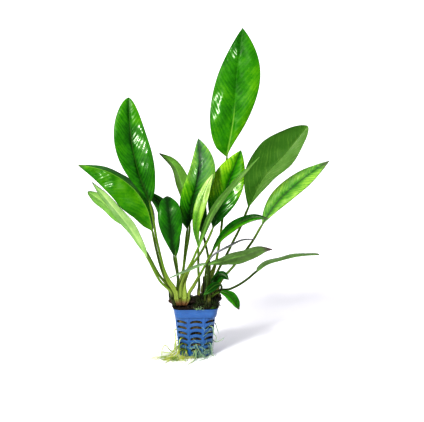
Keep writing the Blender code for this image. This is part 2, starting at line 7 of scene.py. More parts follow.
from math import cos, log, pi, radians, sin, sqrt
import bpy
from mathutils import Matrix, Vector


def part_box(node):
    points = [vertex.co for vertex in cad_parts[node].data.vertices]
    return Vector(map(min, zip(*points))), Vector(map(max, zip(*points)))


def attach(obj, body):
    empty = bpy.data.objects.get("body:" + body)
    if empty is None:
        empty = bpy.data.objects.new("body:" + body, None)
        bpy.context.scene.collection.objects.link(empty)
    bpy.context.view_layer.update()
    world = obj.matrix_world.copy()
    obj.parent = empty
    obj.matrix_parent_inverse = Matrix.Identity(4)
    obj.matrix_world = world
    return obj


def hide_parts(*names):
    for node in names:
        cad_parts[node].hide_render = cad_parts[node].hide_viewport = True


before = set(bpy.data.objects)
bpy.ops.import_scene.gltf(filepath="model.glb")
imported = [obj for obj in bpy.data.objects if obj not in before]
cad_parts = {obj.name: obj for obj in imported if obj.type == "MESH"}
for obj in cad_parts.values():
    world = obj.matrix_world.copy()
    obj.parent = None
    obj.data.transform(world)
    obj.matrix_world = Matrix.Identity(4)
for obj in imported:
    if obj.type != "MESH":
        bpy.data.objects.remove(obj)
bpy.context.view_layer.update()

from types import SimpleNamespace

import bpy
import numpy as np
from mathutils import Vector

bl_info = {
    "name": "Potted Anubias",
    "version": (1, 0, 0),
    "blender": (4, 5, 0),
    "location": "View3D > Sidebar > Anubias",
    "description": "Builds a water plant in its net pot, piece by piece",
    "category": "Object",
}

MM = 0.001
BODY = "root"
pot_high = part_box("net_pot")[1] / MM

# Net pot: heights and half widths that follow the frame's pot.
POT_HEIGHT = round(pot_high.z, 2)
COLLAR_HALF_TOP = round(pot_high.x, 2)
MEDIUM_TOP = round(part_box("growing_medium")[1].z / MM, 2)
WALL = 1.2
COLLAR_HEIGHT = 9.4
COLLAR_Z = POT_HEIGHT - COLLAR_HEIGHT
COLLAR_HALF_BOTTOM = 22.3
COLLAR_CORNER = 9.0
LIP_HEIGHT = 1.5
LIP_OUT = 0.4
# Half width and corner radius of the wall at its base and under the collar.
BODY_BOTTOM = (16.5, 13.0)
BODY_TOP = (20.8, 11.0)
BASE_CHAMFER = 1.4
FLOOR = 1.6
COLUMNS = 8
ROWS = 6
SLOT_FIRST = 8.1
SLOT_PITCH = 6.28
SLOT_HEIGHT = 2.6
SLOT_ARCH = 1.3
SLOT_HALF_ANGLE = 18.5
SLOT_CELLS = 12
SLOT_LINES = [2 * i / SLOT_CELLS - 1 for i in range(SLOT_CELLS + 1)]
RIB_PROFILE = ((19.9, 0.1), (20.9, 0.55), (22.5, 0.7), (24.1, 0.55), (25.1, 0.1))
BAR_BULGE = 0.3
DRAIN_NEAR = 7.0
DRAIN_FAR = 12.0
DRAIN_HALF = 1.5


# Helpers for shapes


def between(low, high, share):
    """A value a share of the way from low to high."""
    return low + (high - low) * share


def smooth_step(low, high, value):
    """0 below low, 1 above high, and a soft ramp between them."""
    t = np.clip((np.asarray(value, float) - low) / (high - low), 0.0, 1.0)
    return t * t * (3 - 2 * t)


def hump(value, width):
    """1 at nought, falling softly to 0 a few widths away."""
    return np.exp(-(value / width) ** 2)


def unit(vectors):
    """The same directions at length 1."""
    vectors = np.asarray(vectors, float)
    return vectors / np.maximum(np.linalg.norm(vectors, axis=-1, keepdims=True), 1e-9)


class Path:
    """A smooth curve through points that is read by its length."""

    per_span = 16

    def __init__(self, points):
        points = np.array(points, float)
        steps = np.diff(points, axis=0)
        spans = np.linalg.norm(steps, axis=1)[:, None]
        slopes = steps / spans
        tangents = np.empty_like(points)
        tangents[0] = slopes[0]
        tangents[1:-1] = (slopes[:-1] * spans[1:] + slopes[1:] * spans[:-1]) / (spans[:-1] + spans[1:])
        tangents[-1] = slopes[-1] * 1.5 - tangents[-2] * 0.5
        t = np.linspace(0, 1, self.per_span, endpoint=False)[:, None]
        curve = [
            points[i] * (1 - 3 * t ** 2 + 2 * t ** 3)
            + points[i + 1] * (3 * t ** 2 - 2 * t ** 3)
            + tangents[i] * span * (t - 2 * t ** 2 + t ** 3)
            + tangents[i + 1] * span * (t ** 3 - t ** 2)
            for i, span in enumerate(spans)]
        self.curve = np.vstack(curve + [points[-1:]])
        steps = np.linalg.norm(np.diff(self.curve, axis=0), axis=1)
        self.lengths = np.concatenate([[0.0], np.cumsum(steps)])
        self.total = self.lengths[-1]

    def at(self, lengths):
        """Points at lengths along the curve."""
        return np.stack([np.interp(lengths, self.lengths, self.curve[:, i]) for i in range(3)], -1)

    def along(self, lengths):
        """Directions of the curve at lengths."""
        lengths = np.asarray(lengths, float)
        return unit(self.at(lengths + 0.6) - self.at(lengths - 0.6))

    def even(self, count):
        """Points at even steps along the curve."""
        return self.at(np.linspace(0, self.total, count))

    def nearest(self, point):
        """The length at which the curve passes a point."""
        return self.lengths[np.argmin(np.linalg.norm(self.curve - np.array(point, float), axis=1))]


def wave_noise(points, scale, seed, octaves=3):
    """Soft noise between -1 and 1 at points, made of a few turned waves."""
    rng = np.random.default_rng(seed)
    total = np.zeros(len(points))
    weight = 0.0
    for octave in range(octaves):
        for _ in range(4):
            direction = unit(rng.normal(size=3)) * scale * 1.9 ** octave * rng.uniform(0.7, 1.3)
            total += np.sin(points @ direction + rng.uniform(0, 2 * pi)) * 0.6 ** octave
        weight += 4 * 0.6 ** octave * 0.55
    return total / weight


def turns(count):
    """Even steps round a circle."""
    return np.arange(count) * 2 * pi / count


class Parts:
    """Points and faces of one piece while it is put together."""

    def __init__(self):
        self.points = []
        self.faces = []
        self.count = 0

    def add(self, points, *faces):
        """Adds points and faces that count from this block's first point."""
        self.points.append(np.asarray(points, float))
        self.faces += [np.asarray(block, int) + self.count for block in faces]
        self.count += len(points)

    def skin(self, rings, turned=False):
        """Adds a closed skin over rings of points; turned faces look the other way."""
        rings = np.asarray(rings, float)
        count, sides = rings.shape[:2]
        ring = np.arange(sides)
        first = (np.arange(count - 1) * sides)[:, None]
        low, beside = first + ring, first + (ring + 1) % sides
        quads = np.stack([low, beside, beside + sides, low + sides], -1).reshape(-1, 4)
        ends = np.stack([ring[::-1], ring + (count - 1) * sides])
        if turned:
            quads, ends = quads[:, ::-1], ends[:, ::-1]
        self.add(rings.reshape(-1, 3), quads, ends)

    def tube(self, path, radii, sides):
        """Adds a closed tube along path points."""
        path = np.asarray(path, float)
        ahead = unit(np.gradient(path, axis=0))
        up = np.zeros_like(path)
        up[0] = unit(np.cross(ahead[0], [0.31, 0.95, 0.11]))
        for i in range(1, len(path)):
            up[i] = unit(up[i - 1] - ahead[i] * np.dot(up[i - 1], ahead[i]))
        side = np.cross(ahead, up)
        turn = turns(sides)[:, None]
        radii = np.broadcast_to(np.asarray(radii, float), (len(path),))[:, None, None]
        ring = side[:, None] * np.cos(turn) + up[:, None] * np.sin(turn)
        self.skin(path[:, None] + ring * radii)


def new_piece(name, parts, finish, stands_for=(), data=None, sharp=None):
    """One finished mesh piece that rides on the object's body."""
    points = np.vstack(parts.points) * MM
    loops = np.concatenate([block.ravel() for block in parts.faces])
    sizes = np.concatenate([np.full(len(block), block.shape[1]) for block in parts.faces])
    mesh = bpy.data.meshes.new(name)
    mesh.vertices.add(len(points))
    mesh.vertices.foreach_set("co", points.astype(np.float32).ravel())
    mesh.loops.add(len(loops))
    mesh.loops.foreach_set("vertex_index", loops.astype(np.int32))
    mesh.polygons.add(len(sizes))
    mesh.polygons.foreach_set("loop_start", (np.cumsum(sizes) - sizes).astype(np.int32))
    mesh.update(calc_edges=True)
    mesh.validate()
    for key, values in (data or {}).items():
        layer = mesh.attributes.new(key, "FLOAT_VECTOR", "POINT")
        layer.data.foreach_set("vector", np.asarray(values, np.float32).ravel())
    mesh.shade_smooth()
    if sharp:
        mesh.set_sharp_from_angle(angle=radians(sharp))
    mesh.materials.append(finish)
    made = bpy.data.objects.new(name, mesh)
    bpy.context.scene.collection.objects.link(made)
    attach(made, BODY)
    if stands_for:
        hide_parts(*stands_for)
    return made


# Helpers for finishes


class Value:
    """A result in a material that can be added to, multiplied and put on a soft ramp."""

    def __init__(self, look, socket):
        self.look = look
        self.socket = socket

    def __add__(self, other):
        return self.look.sum("ADD", self, other)

    def __sub__(self, other):
        return self.look.sum("SUBTRACT", self, other)

    def __rsub__(self, other):
        return self.look.sum("SUBTRACT", other, self)

    def __mul__(self, other):
        return self.look.sum("MULTIPLY", self, other)

    def __abs__(self):
        return self.look.sum("ABSOLUTE", self)

    def wave(self):
        """How far the value is from the middle between whole numbers, 0 to 0.5."""
        return abs(self.look.sum("FRACT", self) - 0.5)

    def step(self, low, high, to_low=0.0, to_high=1.0):
        """A soft ramp from low to high."""
        if low > high:
            low, high, to_low, to_high = high, low, to_high, to_low
        return self.look.node("MapRange", "Result", {
            "Value": self, "From Min": low, "From Max": high, "To Min": to_low, "To Max": to_high,
        }, interpolation_type="SMOOTHSTEP")


def fill_ramp(ramp, stops):
    """Gives a ramp its row of colours, each at its place between 0 and 1."""
    elements = ramp.color_ramp.elements
    elements.remove(elements[1])
    elements[0].position, elements[0].color = stops[0][0], (*stops[0][1], 1.0)
    for place, colour in stops[1:]:
        elements.new(place).color = (*colour, 1.0)


class Finish:
    """A node material that is put together step by step."""

    def __init__(self, name, roughness, specular, **fixed):
        self.material = bpy.data.materials.new(name)
        self.material.use_nodes = True
        self.nodes = self.material.node_tree.nodes
        self.links = self.material.node_tree.links
        self.inputs = self.nodes["Principled BSDF"].inputs
        self.inputs["Roughness"].default_value = roughness
        self.inputs["Specular IOR Level"].default_value = specular
        for key, value in fixed.items():
            self.inputs[key.replace("_", " ")].default_value = value
        self.place = self.node("TexCoord", "Object")

    def put(self, socket, value):
        """Links a socket, or sets it to a plain value."""
        if isinstance(value, Value):
            self.links.new(value.socket, socket)
        elif isinstance(value, (int, float)):
            socket.default_value = value
        else:
            socket.default_value = (*value, 1.0)

    def node(self, kind, result, inputs=None, **settings):
        """The named or numbered result of a new node whose inputs are filled in."""
        made = self.nodes.new("ShaderNode" + kind)
        for key, value in settings.items():
            setattr(made, key, value)
        for key, value in (inputs or {}).items():
            self.put(made.inputs[key], value)
        return Value(self, made.outputs[result])

    def sum(self, kind, a, b=0.0):
        """One step of arithmetic."""
        return self.node("Math", 0, {0: a, 1: b}, operation=kind)

    def mix(self, share, a, b):
        """Colour a at share 0, colour b at share 1."""
        return self.node("Mix", 2, {0: share, 6: a, 7: b}, data_type="RGBA")

    def layers(self, colour, *layers):
        """A colour with others laid over it, each with its share."""
        for share, over in layers:
            colour = self.mix(share, colour, over)
        return colour

    def noise(self, scale, detail=3.0, rough=0.55, vector=None, distortion=0.0):
        """Noise between 0 and 1; scale is in waves a metre."""
        return self.node("TexNoise", "Fac", {
            "Vector": vector or self.place, "Scale": scale, "Detail": detail, "Roughness": rough,
            "Distortion": distortion})

    def drawn_out(self, *scale):
        """The place with each axis scaled, for streaks."""
        mapping = self.nodes.new("ShaderNodeMapping")
        mapping.inputs["Scale"].default_value = scale
        self.put(mapping.inputs["Vector"], self.place)
        return Value(self, mapping.outputs[0])

    def split(self, vector):
        """The three numbers of a vector."""
        made = self.nodes.new("ShaderNodeSeparateXYZ")
        self.put(made.inputs[0], vector)
        return [Value(self, socket) for socket in made.outputs]

    def attribute(self, name):
        """The three numbers of a mesh attribute."""
        return self.split(self.node("Attribute", "Vector", attribute_name=name))

    def tones(self, share, *stops):
        """A colour from a row of colours, each at its place between 0 and 1."""
        ramp = self.nodes.new("ShaderNodeValToRGB")
        fill_ramp(ramp, stops)
        self.put(ramp.inputs[0], share)
        return Value(self, ramp.outputs["Color"])

    def finish(self, colour, rough, height, strength, distance):
        """Sets colour, roughness and bump, and gives the material."""
        bump = self.node("Bump", "Normal", {"Height": height, "Strength": strength, "Distance": distance})
        self.put(self.inputs["Base Color"], colour)
        self.put(self.inputs["Roughness"], rough)
        self.put(self.inputs["Normal"], bump)
        return self.material


# Settings


def colour_setting(name, description, *default):
    """A colour that a user can change."""
    return bpy.props.FloatVectorProperty(
        name=name, description=description, default=default, size=3, min=0.0, max=1.0, subtype="COLOR")


def length_setting(name, description, default, low, high):
    """A length that a user can change."""
    return bpy.props.FloatProperty(
        name=name, description=description, default=default * MM, min=low * MM, max=high * MM,
        unit="LENGTH", precision=5)


def count_setting(name, things, default):
    """A number of like things that a user can change."""
    return bpy.props.IntProperty(name=name, description=f"Number of {things}", default=default, min=0)


def amount_setting(name, description, default, low=0.0):
    """A strength or length without a unit that a user can change."""
    return bpy.props.FloatProperty(name=name, description=description, default=default, min=low)


class PotSettings(bpy.types.PropertyGroup):
    """Looks of the net pot."""

    blue: colour_setting("Blue", "Colour of the collar", 0.029, 0.100, 0.275)
    # Painted shade: the wall's colour, laid on darkest toward the base.
    shaded_blue: colour_setting("Deep blue", "Colour of the wall, deepest low down", 0.008, 0.076, 0.215)
    grime: colour_setting("Grime", "Thin green film near the base", 0.02, 0.07, 0.05)
    edge_round: length_setting("Edge rounding", "How far the plastic's edges are rounded", 0.18, 0.02, 0.4)


class MediumSettings(bpy.types.PropertyGroup):
    """Looks of the growing medium."""

    dark: colour_setting("Dark grit", "Colour of the wet grit", 0.006, 0.005, 0.003)
    brown: colour_setting("Brown grit", "Colour of the lighter grains", 0.045, 0.026, 0.013)
    wool: colour_setting("Wool", "Colour of the mineral wool in the slots", 0.24, 0.20, 0.09)
    moss: colour_setting("Moss", "Colour of the moss", 0.035, 0.10, 0.010)
    pale_moss: colour_setting("Pale moss", "Colour of the moss on the rim", 0.30, 0.46, 0.24)
    grains: count_setting("Grains", "grit grains", 900)
    fibres: count_setting("Fibres", "wool fibres", 420)
    rootlets: count_setting("Rootlets", "old dark rootlets", 620)


class StemSettings(bpy.types.PropertyGroup):
    """Looks of the creeping stems and the old stalk."""

    brown: colour_setting("Brown", "Colour of the creeping stems", 0.085, 0.032, 0.012)
    dark_brown: colour_setting("Dark brown", "Colour of their scars", 0.012, 0.007, 0.004)
    green: colour_setting("Green", "Colour of their youngest parts", 0.05, 0.075, 0.012)


class LeafSettings(bpy.types.PropertyGroup):
    """Sizes and colours of the leaves."""

    deep: colour_setting("Deep green", "Upper side at its darkest", 0.002, 0.036, 0.0004)
    dark: colour_setting("Dark green", "Upper side of the darkest leaves", 0.008, 0.092, 0.0006)
    fresh: colour_setting("Fresh green", "Upper side of most leaves", 0.024, 0.160, 0.0008)
    bright: colour_setting("Bright green", "Upper side near the edges", 0.070, 0.235, 0.001)
    yellow: colour_setting("Yellow green", "Upper side at its palest", 0.21, 0.40, 0.012)
    under_dark: colour_setting("Dark underside", "Underside of old leaves", 0.028, 0.100, 0.006)
    under_green: colour_setting("Green underside", "Underside of most leaves", 0.075, 0.165, 0.020)
    # Partly the underside's own grey green and partly a painted sheen where it catches the light.
    under_grey_sheen: colour_setting("Grey underside", "Underside with a dry sheen", 0.150, 0.330, 0.062)
    under_pale: colour_setting("Pale underside", "Underside of young leaves", 0.38, 0.52, 0.19)
    # Painted shade in the midrib groove of folded leaves.
    rib_shade: colour_setting("Dark midrib", "Midrib groove of folded leaves", 0.003, 0.035, 0.001)
    rib_pale: colour_setting("Pale midrib", "Midrib where it is raised", 0.19, 0.38, 0.05)
    brown: colour_setting("Brown", "Dying tips and edges", 0.085, 0.060, 0.060)
    grey: colour_setting("Grey film", "Dry lilac grey film on old leaves", 0.36, 0.33, 0.40)
    stalk: colour_setting("Stalk", "Colour of most stalks", 0.115, 0.205, 0.022)
    stalk_dark: colour_setting("Dark stalk", "Colour of the darkest stalks", 0.012, 0.026, 0.004)
    sheath: colour_setting("Sheath", "Pale sheath at a stalk's foot", 0.25, 0.315, 0.075)
    foot: colour_setting("Foot", "Red-brown foot of a sheath", 0.16, 0.07, 0.035)
    vein_gap: length_setting("Vein gap", "Distance between side veins along the midrib", 7.0, 2.0, 14.0)
    quilt: length_setting("Quilting", "How far the blade swells between side veins", 0.5, 0.0, 1.5)
    edge: length_setting("Edge thickness", "Half thickness of a blade at its edge", 0.14, 0.05, 0.4)
    grid: length_setting("Grid", "Spacing of the blade's points", 0.9, 0.5, 3.0)


class RootSettings(bpy.types.PropertyGroup):
    """Looks of the roots."""

    pale: colour_setting("Pale root", "Colour of young roots", 0.46, 0.52, 0.09)
    green: colour_setting("Green root", "Colour of older roots", 0.16, 0.26, 0.03)
    brown: colour_setting("Brown root", "Colour of dying roots", 0.10, 0.07, 0.03)
    wan: colour_setting("Wan root", "Colour of the washed-out roots on the right", 0.22, 0.37, 0.32)
    thickness: length_setting("Thickness", "Radius of a thick root at its start", 0.55, 0.2, 1.0)
    fine: count_setting("Fine roots", "fine roots", 64)
    hairs: count_setting("Root hairs", "root hairs", 330)
    clinging: count_setting("Clinging roots", "thin roots on the pot's wall", 60)


class StageSettings(bpy.types.PropertyGroup):
    """Floor, light and camera."""

    floor: colour_setting("Floor", "Colour of the floor", 0.92, 0.92, 0.93)
    key: amount_setting("Key light", "Strength of the large soft light at the front left", 3.4)
    fill: amount_setting("Fill light", "Strength of the weaker light at the right", 0.35)
    horizon: amount_setting("Horizon", "Brightness of the room just above the floor", 0.22)
    ceiling: colour_setting("Ceiling", "Colour of the bright ceiling", 0.76, 0.75, 0.80)
    lens: amount_setting("Lens", "Focal length of the camera in millimetres", 110.0, 20.0)


# Net pot


def square_radius(angle, half, corner):
    """How far a rounded square's outline is from its centre at an angle."""
    turn = (angle + pi / 4) % (pi / 2) - pi / 4
    straight = half - corner
    side = half / cos(turn)
    if abs(side * sin(turn)) <= straight:
        return side
    away = straight * sqrt(2)
    off = abs(turn) - pi / 4
    return away * cos(off) + sqrt(corner ** 2 - (away * sin(off)) ** 2)


def body_shape(z):
    """Half width and corner radius of the pot's outer wall at a height."""
    return [between(low, high, z / COLLAR_Z) for low, high in zip(BODY_BOTTOM, BODY_TOP)]


def wall_radius(angle, z):
    """How far the pot's outer wall is from the middle."""
    return square_radius(angle, *body_shape(z))


def at_angle(angle, radius, z):
    """A point round the pot's middle."""
    return radius * cos(angle), radius * sin(angle), z


def directions(angle):
    """The level directions away from the middle and round it."""
    return np.array((cos(angle), sin(angle), 0.0)), np.array((-sin(angle), cos(angle), 0.0))


def column_angle(column):
    """The way a column of slots looks."""
    return radians(360 / COLUMNS) * column


def slot_height(row):
    """The middle of a row of slots."""
    return SLOT_FIRST + SLOT_PITCH * row


class PotShell:
    """The pot's rings while it is put together."""

    def __init__(self):
        self.points = []
        self.quads = []
        self.polygons = []

    def ring(self, line, shapes, heights, outs):
        """A ring of points, each with its own outline, height and distance from the outline."""
        first = len(self.points)
        for (angle, *_), shape, z, out in zip(line, shapes, heights, outs):
            self.points.append(at_angle(angle, square_radius(angle, *shape) + out, z))
        return list(range(first, len(self.points)))

    def level(self, line, z, side=0, inset=0.0):
        """A ring of the wall; side -1 or 1 follows the lower or upper edges of a row of slots."""
        half, corner = body_shape(z)
        heights = [z + (edge_rise(across, side) if side else 0.0) for _, across, _ in line]
        outs = [0.0 if inset else out for _, _, out in line]
        return self.ring(line, [(half - inset, corner - inset)] * len(line), heights, outs)

    def band(self, low, high, skip=()):
        """Quads between two rings with equal counts."""
        for i in range(len(low)):
            if i not in skip:
                j = (i + 1) % len(low)
                self.quads.append((low[i], low[j], high[j], high[i]))


def edge_rise(across, side):
    """Height of a slot's edge over the slot's middle, at a share across it."""
    reach = SLOT_HEIGHT / 2 * (0.35 + 0.65 * sqrt(max(0.0, 1 - across ** 6)))
    return SLOT_ARCH * (1 - across ** 2) - SLOT_ARCH / 2 + side * reach


def net_pot_shell():
    """Points and faces of the pot: slotted wall with ribs, collar with a lip, and a floor."""
    shell = PotShell()
    # Upright lines of the wall: angle, share across the slot, and how far the line stands out.
    wall = []
    plain = []
    for column in range(COLUMNS):
        centre = column_angle(column)
        slot = [(centre + radians(SLOT_HALF_ANGLE) * across, across, 0.0) for across in SLOT_LINES]
        wall += slot + [(centre + radians(angle), 1.0, out) for angle, out in RIB_PROFILE]
        plain += slot
    per_plain = len(SLOT_LINES)
    per_wall = per_plain + len(RIB_PROFILE)
    open_wall, open_plain = (
        {column * per + i for column in range(COLUMNS) for i in range(SLOT_CELLS)}
        for per in (per_wall, per_plain))

    base = shell.level(wall, 0.0, inset=BASE_CHAMFER)
    outer = [shell.level(wall, BASE_CHAMFER)]
    inner = [shell.level(plain, FLOOR, inset=WALL)]
    for row in range(ROWS):
        for side in (-1, 1):
            outer.append(shell.level(wall, slot_height(row), side))
            inner.append(shell.level(plain, slot_height(row), side, WALL))
    outer.append(shell.level(wall, COLLAR_Z))
    inner.append(shell.level(plain, COLLAR_Z + WALL, inset=WALL))

    shell.polygons += [base[::-1], inner[0]]
    shell.band(base, outer[0])
    for level in range(2 * ROWS + 1):
        low, high = outer[level:level + 2]
        if level % 2:
            shell.band(inner[level + 1], inner[level], open_plain)
            shell.band(low, high, open_wall)
            for column in range(COLUMNS):
                out_low, out_high = (ring[column * per_wall:][:per_plain] for ring in (low, high))
                in_low, in_high = (ring[column * per_plain:][:per_plain] for ring in inner[level:level + 2])
                shell.band(out_high[::-1] + out_low, in_high[::-1] + in_low)
            continue
        shell.band(inner[level + 1], inner[level])
        before = low
        on_bar = BAR_BULGE if 0 < level < 2 * ROWS else 0.0
        for share in (0.3, 0.7):
            heights = [between(shell.points[a][2], shell.points[b][2], share) for a, b in zip(low, high)]
            outs = [out or on_bar for _, _, out in wall]
            now = shell.ring(wall, map(body_shape, heights), heights, outs)
            shell.band(before, now)
            before = now
        shell.band(before, high)

    lip_z = POT_HEIGHT - LIP_HEIGHT
    under_lip = COLLAR_HALF_TOP - LIP_OUT
    collar = [
        (COLLAR_HALF_BOTTOM, COLLAR_Z),
        (between(COLLAR_HALF_BOTTOM, under_lip, 0.5) + 0.12, between(COLLAR_Z, lip_z, 0.5)),
        (under_lip, lip_z), (COLLAR_HALF_TOP, lip_z + LIP_OUT), (COLLAR_HALF_TOP, POT_HEIGHT),
        (COLLAR_HALF_TOP - WALL - LIP_OUT, POT_HEIGHT), (COLLAR_HALF_BOTTOM - WALL, COLLAR_Z + WALL),
    ]
    count = len(plain)
    rings = [shell.ring(plain, [(half, COLLAR_CORNER)] * count, [z] * count, [0.0] * count)
             for half, z in collar]
    for low, high in zip(rings, rings[1:] + [inner[-1]]):
        shell.band(low, high)
    top = outer[-1]
    edge = rings[0]
    for column in range(COLUMNS):
        a = column * per_wall
        b = column * per_plain
        for i in range(SLOT_CELLS):
            shell.quads.append((top[a + i], top[a + i + 1], edge[b + i + 1], edge[b + i]))
        last = b + SLOT_CELLS
        around = [top[(a + SLOT_CELLS + i) % len(top)] for i in range(len(RIB_PROFILE) + 2)]
        shell.polygons.append([*around, edge[(last + 1) % count], edge[last]])
    parts = Parts()
    parts.add(shell.points, shell.quads, *([polygon] for polygon in shell.polygons))
    return parts


def plastic_finish(settings):
    """Blue moulded plastic with soft mottling, scuffs and a green film low down, on a wall painted darker
    toward the base as shade.
    """
    look = Finish("blue_moulded_plastic", 0.36, 0.45, Subsurface_Weight=0.08, Subsurface_Scale=0.002)
    height = look.split(look.place)[2]
    cloudy = look.noise(85, 4)
    stain = look.noise(190, 4, 0.6).step(0.54, 0.68, 0.0, 0.45) * height.step(0.046, 0.040)
    film = height.step(0.034, 0.004) * look.noise(140, 5).step(0.45, 0.7)
    scuff = look.noise(260, 5, 0.7, distortion=1.5).step(0.62, 0.78)
    # The wall is painted darker toward the base as shade, blending up into the collar's blue.
    colour = look.layers(
        settings.shaded_blue, (height.step(-0.004, 0.058), settings.blue),
        (cloudy.step(0.38, 0.75, 0.0, 0.45), (0.05, 0.155, 0.36)), (stain, (0.006, 0.040, 0.105)),
        (film * 0.5, settings.grime), (scuff * 0.25, (0.16, 0.30, 0.48)))
    rough = cloudy.step(0.3, 0.8, 0.30, 0.46) + scuff * 0.15
    return look.finish(colour, rough, look.noise(900) * 0.5 + scuff * 0.3, 0.25, 0.00008)


def drain_bars():
    """Eight bars that cut the drain holes in the floor."""
    parts = Parts()
    for column in range(COLUMNS):
        away, aside = directions(column_angle(column))
        corners = ((DRAIN_NEAR, -1), (DRAIN_FAR, -1), (DRAIN_FAR, 1), (DRAIN_NEAR, 1))
        parts.skin([[away * far + aside * DRAIN_HALF * side + (0, 0, z) for far, side in corners]
                    for z in (-FLOOR, 2 * FLOOR)])
    return parts


class ANUBIAS_OT_net_pot(bpy.types.Operator):
    """Builds the slotted net pot"""

    bl_idname = "anubias.net_pot"
    bl_label = "Net Pot"

    def execute(self, context):
        settings = context.scene.anubias_pot
        finish = plastic_finish(settings)
        pot = new_piece("slotted_pot", net_pot_shell(), finish, ["net_pot"], sharp=32)
        cutter = new_piece("drain_cutter", drain_bars(), finish)
        cut = pot.modifiers.new("drain holes", "BOOLEAN")
        cut.object = cutter
        cut.solver = "EXACT"
        bevel = pot.modifiers.new("soft edges", "BEVEL")
        bevel.width = settings.edge_round
        bevel.segments = 2
        bevel.angle_limit = radians(40)
        context.view_layer.update()
        mesh = bpy.data.meshes.new_from_object(pot.evaluated_get(context.evaluated_depsgraph_get()))
        pot.modifiers.clear()
        pot.data = mesh
        bpy.data.objects.remove(cutter)
        mesh.set_sharp_from_angle(angle=radians(38))
        return {"FINISHED"}


# Growing medium

# Middle, spread and height of the mound of old roots in front of the right creeping stem.
MOUND_MIDDLE = (9.5, -12.5)
MOUND_SPREAD = (8.0, 6.0)
MOUND_RISE = 4.5
# Middle and spread of the rootlets that lie over the right end of the left creeping stem.
STEM_TANGLE = (-0.5, -15.0)
STEM_TANGLE_SPREAD = (4.0, 4.0)
# Where moss grows: middle in x and y, spread, number of tufts, and length of a blade.
MOSS_SPOTS = (
    (9.5, -13.0, 9.0, 480, 4.4), (2.0, -23.5, 4.5, 110, 2.4), (17.0, -18.0, 5.0, 130, 3.2),
    (1.0, -15.0, 5.0, 110, 3.0), (21.0, 4.0, 6.0, 70, 2.4), (-6.0, 18.0, 9.0, 90, 2.6),
    (14.0, 19.0, 6.0, 60, 2.4))


def medium_profile():
    """Half width, corner, height and looseness of the medium's levels, from the floor up."""
    clear = WALL + 0.4
    step_z = COLLAR_Z + WALL + 0.4
    levels = []
    for z in np.linspace(FLOOR + 0.3, step_z, 46):
        half, corner = body_shape(min(z, COLLAR_Z))
        levels.append((half - clear, corner - clear, z, 0.0))
    levels.append((COLLAR_HALF_BOTTOM - clear - 0.3, COLLAR_CORNER, step_z + 0.1, 0.0))
    for z in np.linspace(step_z + 1.0, POT_HEIGHT, 8):
        share = (z - step_z) / (POT_HEIGHT - step_z)
        half = between(COLLAR_HALF_BOTTOM, COLLAR_HALF_TOP - LIP_OUT, share) - clear
        levels.append((half, COLLAR_CORNER - 1.0, z, 0.0))
    over = COLLAR_HALF_TOP + 0.7
    rim = POT_HEIGHT + 0.35
    levels.append((COLLAR_HALF_TOP - 1.4, COLLAR_CORNER - 0.5, rim - 0.1, 0.1))
    levels += [(half, COLLAR_CORNER, z, loose) for half, z, loose in (
        (over - 0.5, rim, 0.25), (over, rim + 0.5, 0.5), (over + 0.1, rim + 1.2, 0.7),
        (over - 0.5, rim + 2.0, 0.8), (over - 1.8, MEDIUM_TOP - 0.8, 0.8),
        (over - 3.4, MEDIUM_TOP - 0.4, 0.8))]
    return levels + [(over * share, COLLAR_CORNER * share, MEDIUM_TOP - 0.5, 0.8)
                     for share in np.linspace(0.82, 0.03, 26)]


def mound_share(points):
    """How high points lie on the mound, 0 to 1."""
    off = (np.asarray(points)[:, :2] - MOUND_MIDDLE) / MOUND_SPREAD
    return np.exp(-(off ** 2).sum(1) / 2)


def medium_mass():
    """The lumpy mass that fills the pot."""
    angles = turns(160)
    outward = np.stack([np.cos(angles), np.sin(angles), np.zeros(len(angles))], -1)
    rings = []
    for half, corner, z, loose in medium_profile():
        radius = np.array([square_radius(a, half, min(corner, half)) for a in angles])
        ring = outward * radius[:, None] + (0, 0, z)
        lump = wave_noise(ring, 0.9, 11) * 0.5 + wave_noise(ring, 2.2, 12) * 0.5
        if loose == 0.0:
            ring -= outward * (0.1 + 0.9 * np.abs(lump))[:, None]
        else:
            ring += outward * (lump * loose)[:, None]
            ring[:, 2] += np.clip(lump, -0.6, 1) * loose * 0.8 + MOUND_RISE * mound_share(ring)
        rings.append(ring)
    parts = Parts()
    parts.skin(rings)
    return parts


def medium_finish(settings):
    """Wet dark grit on top and brown wool inside, with moss on one side."""
    look = Finish("dark_grit_and_wool", 0.9, 0.2)
    x, _, z = look.split(look.place)
    grain = look.noise(700, 5, 0.65)
    cloud = look.noise(150, 4)
    strand = look.noise(420, 5, 0.7, look.drawn_out(1.0, 1.0, 5.0), 0.6)
    wool = look.layers(
        settings.brown, (strand.step(0.35, 0.7), settings.wool),
        (cloud.step(0.42, 0.60, 0.0, 0.92), settings.dark))
    green = cloud.step(0.45, 0.6) * x.step(-0.002, 0.012) * z.step(0.054, 0.0555)
    colour = look.layers(
        settings.dark, (grain.step(0.45, 0.75), settings.brown),
        (z.step((POT_HEIGHT + 0.4) * MM, (POT_HEIGHT - 1.0) * MM), wool), (green, settings.moss))
    return look.finish(colour, grain.step(0.3, 0.8, 0.75, 0.98), grain + strand * 0.8, 0.8, 0.0005)


def lump_shape():
    """Points and faces of a small icosahedron."""
    g = (1 + sqrt(5)) / 2
    points = unit([
        (-1, g, 0), (1, g, 0), (-1, -g, 0), (1, -g, 0), (0, -1, g), (0, 1, g),
        (0, -1, -g), (0, 1, -g), (g, 0, -1), (g, 0, 1), (-g, 0, -1), (-g, 0, 1)])
    return points, [
        (0, 11, 5), (0, 5, 1), (0, 1, 7), (0, 7, 10), (0, 10, 11), (1, 5, 9), (5, 11, 4),
        (11, 10, 2), (10, 7, 6), (7, 1, 8), (3, 9, 4), (3, 4, 2), (3, 2, 6), (3, 6, 8),
        (3, 8, 9), (4, 9, 5), (2, 4, 11), (6, 2, 10), (8, 6, 7), (9, 8, 1)]


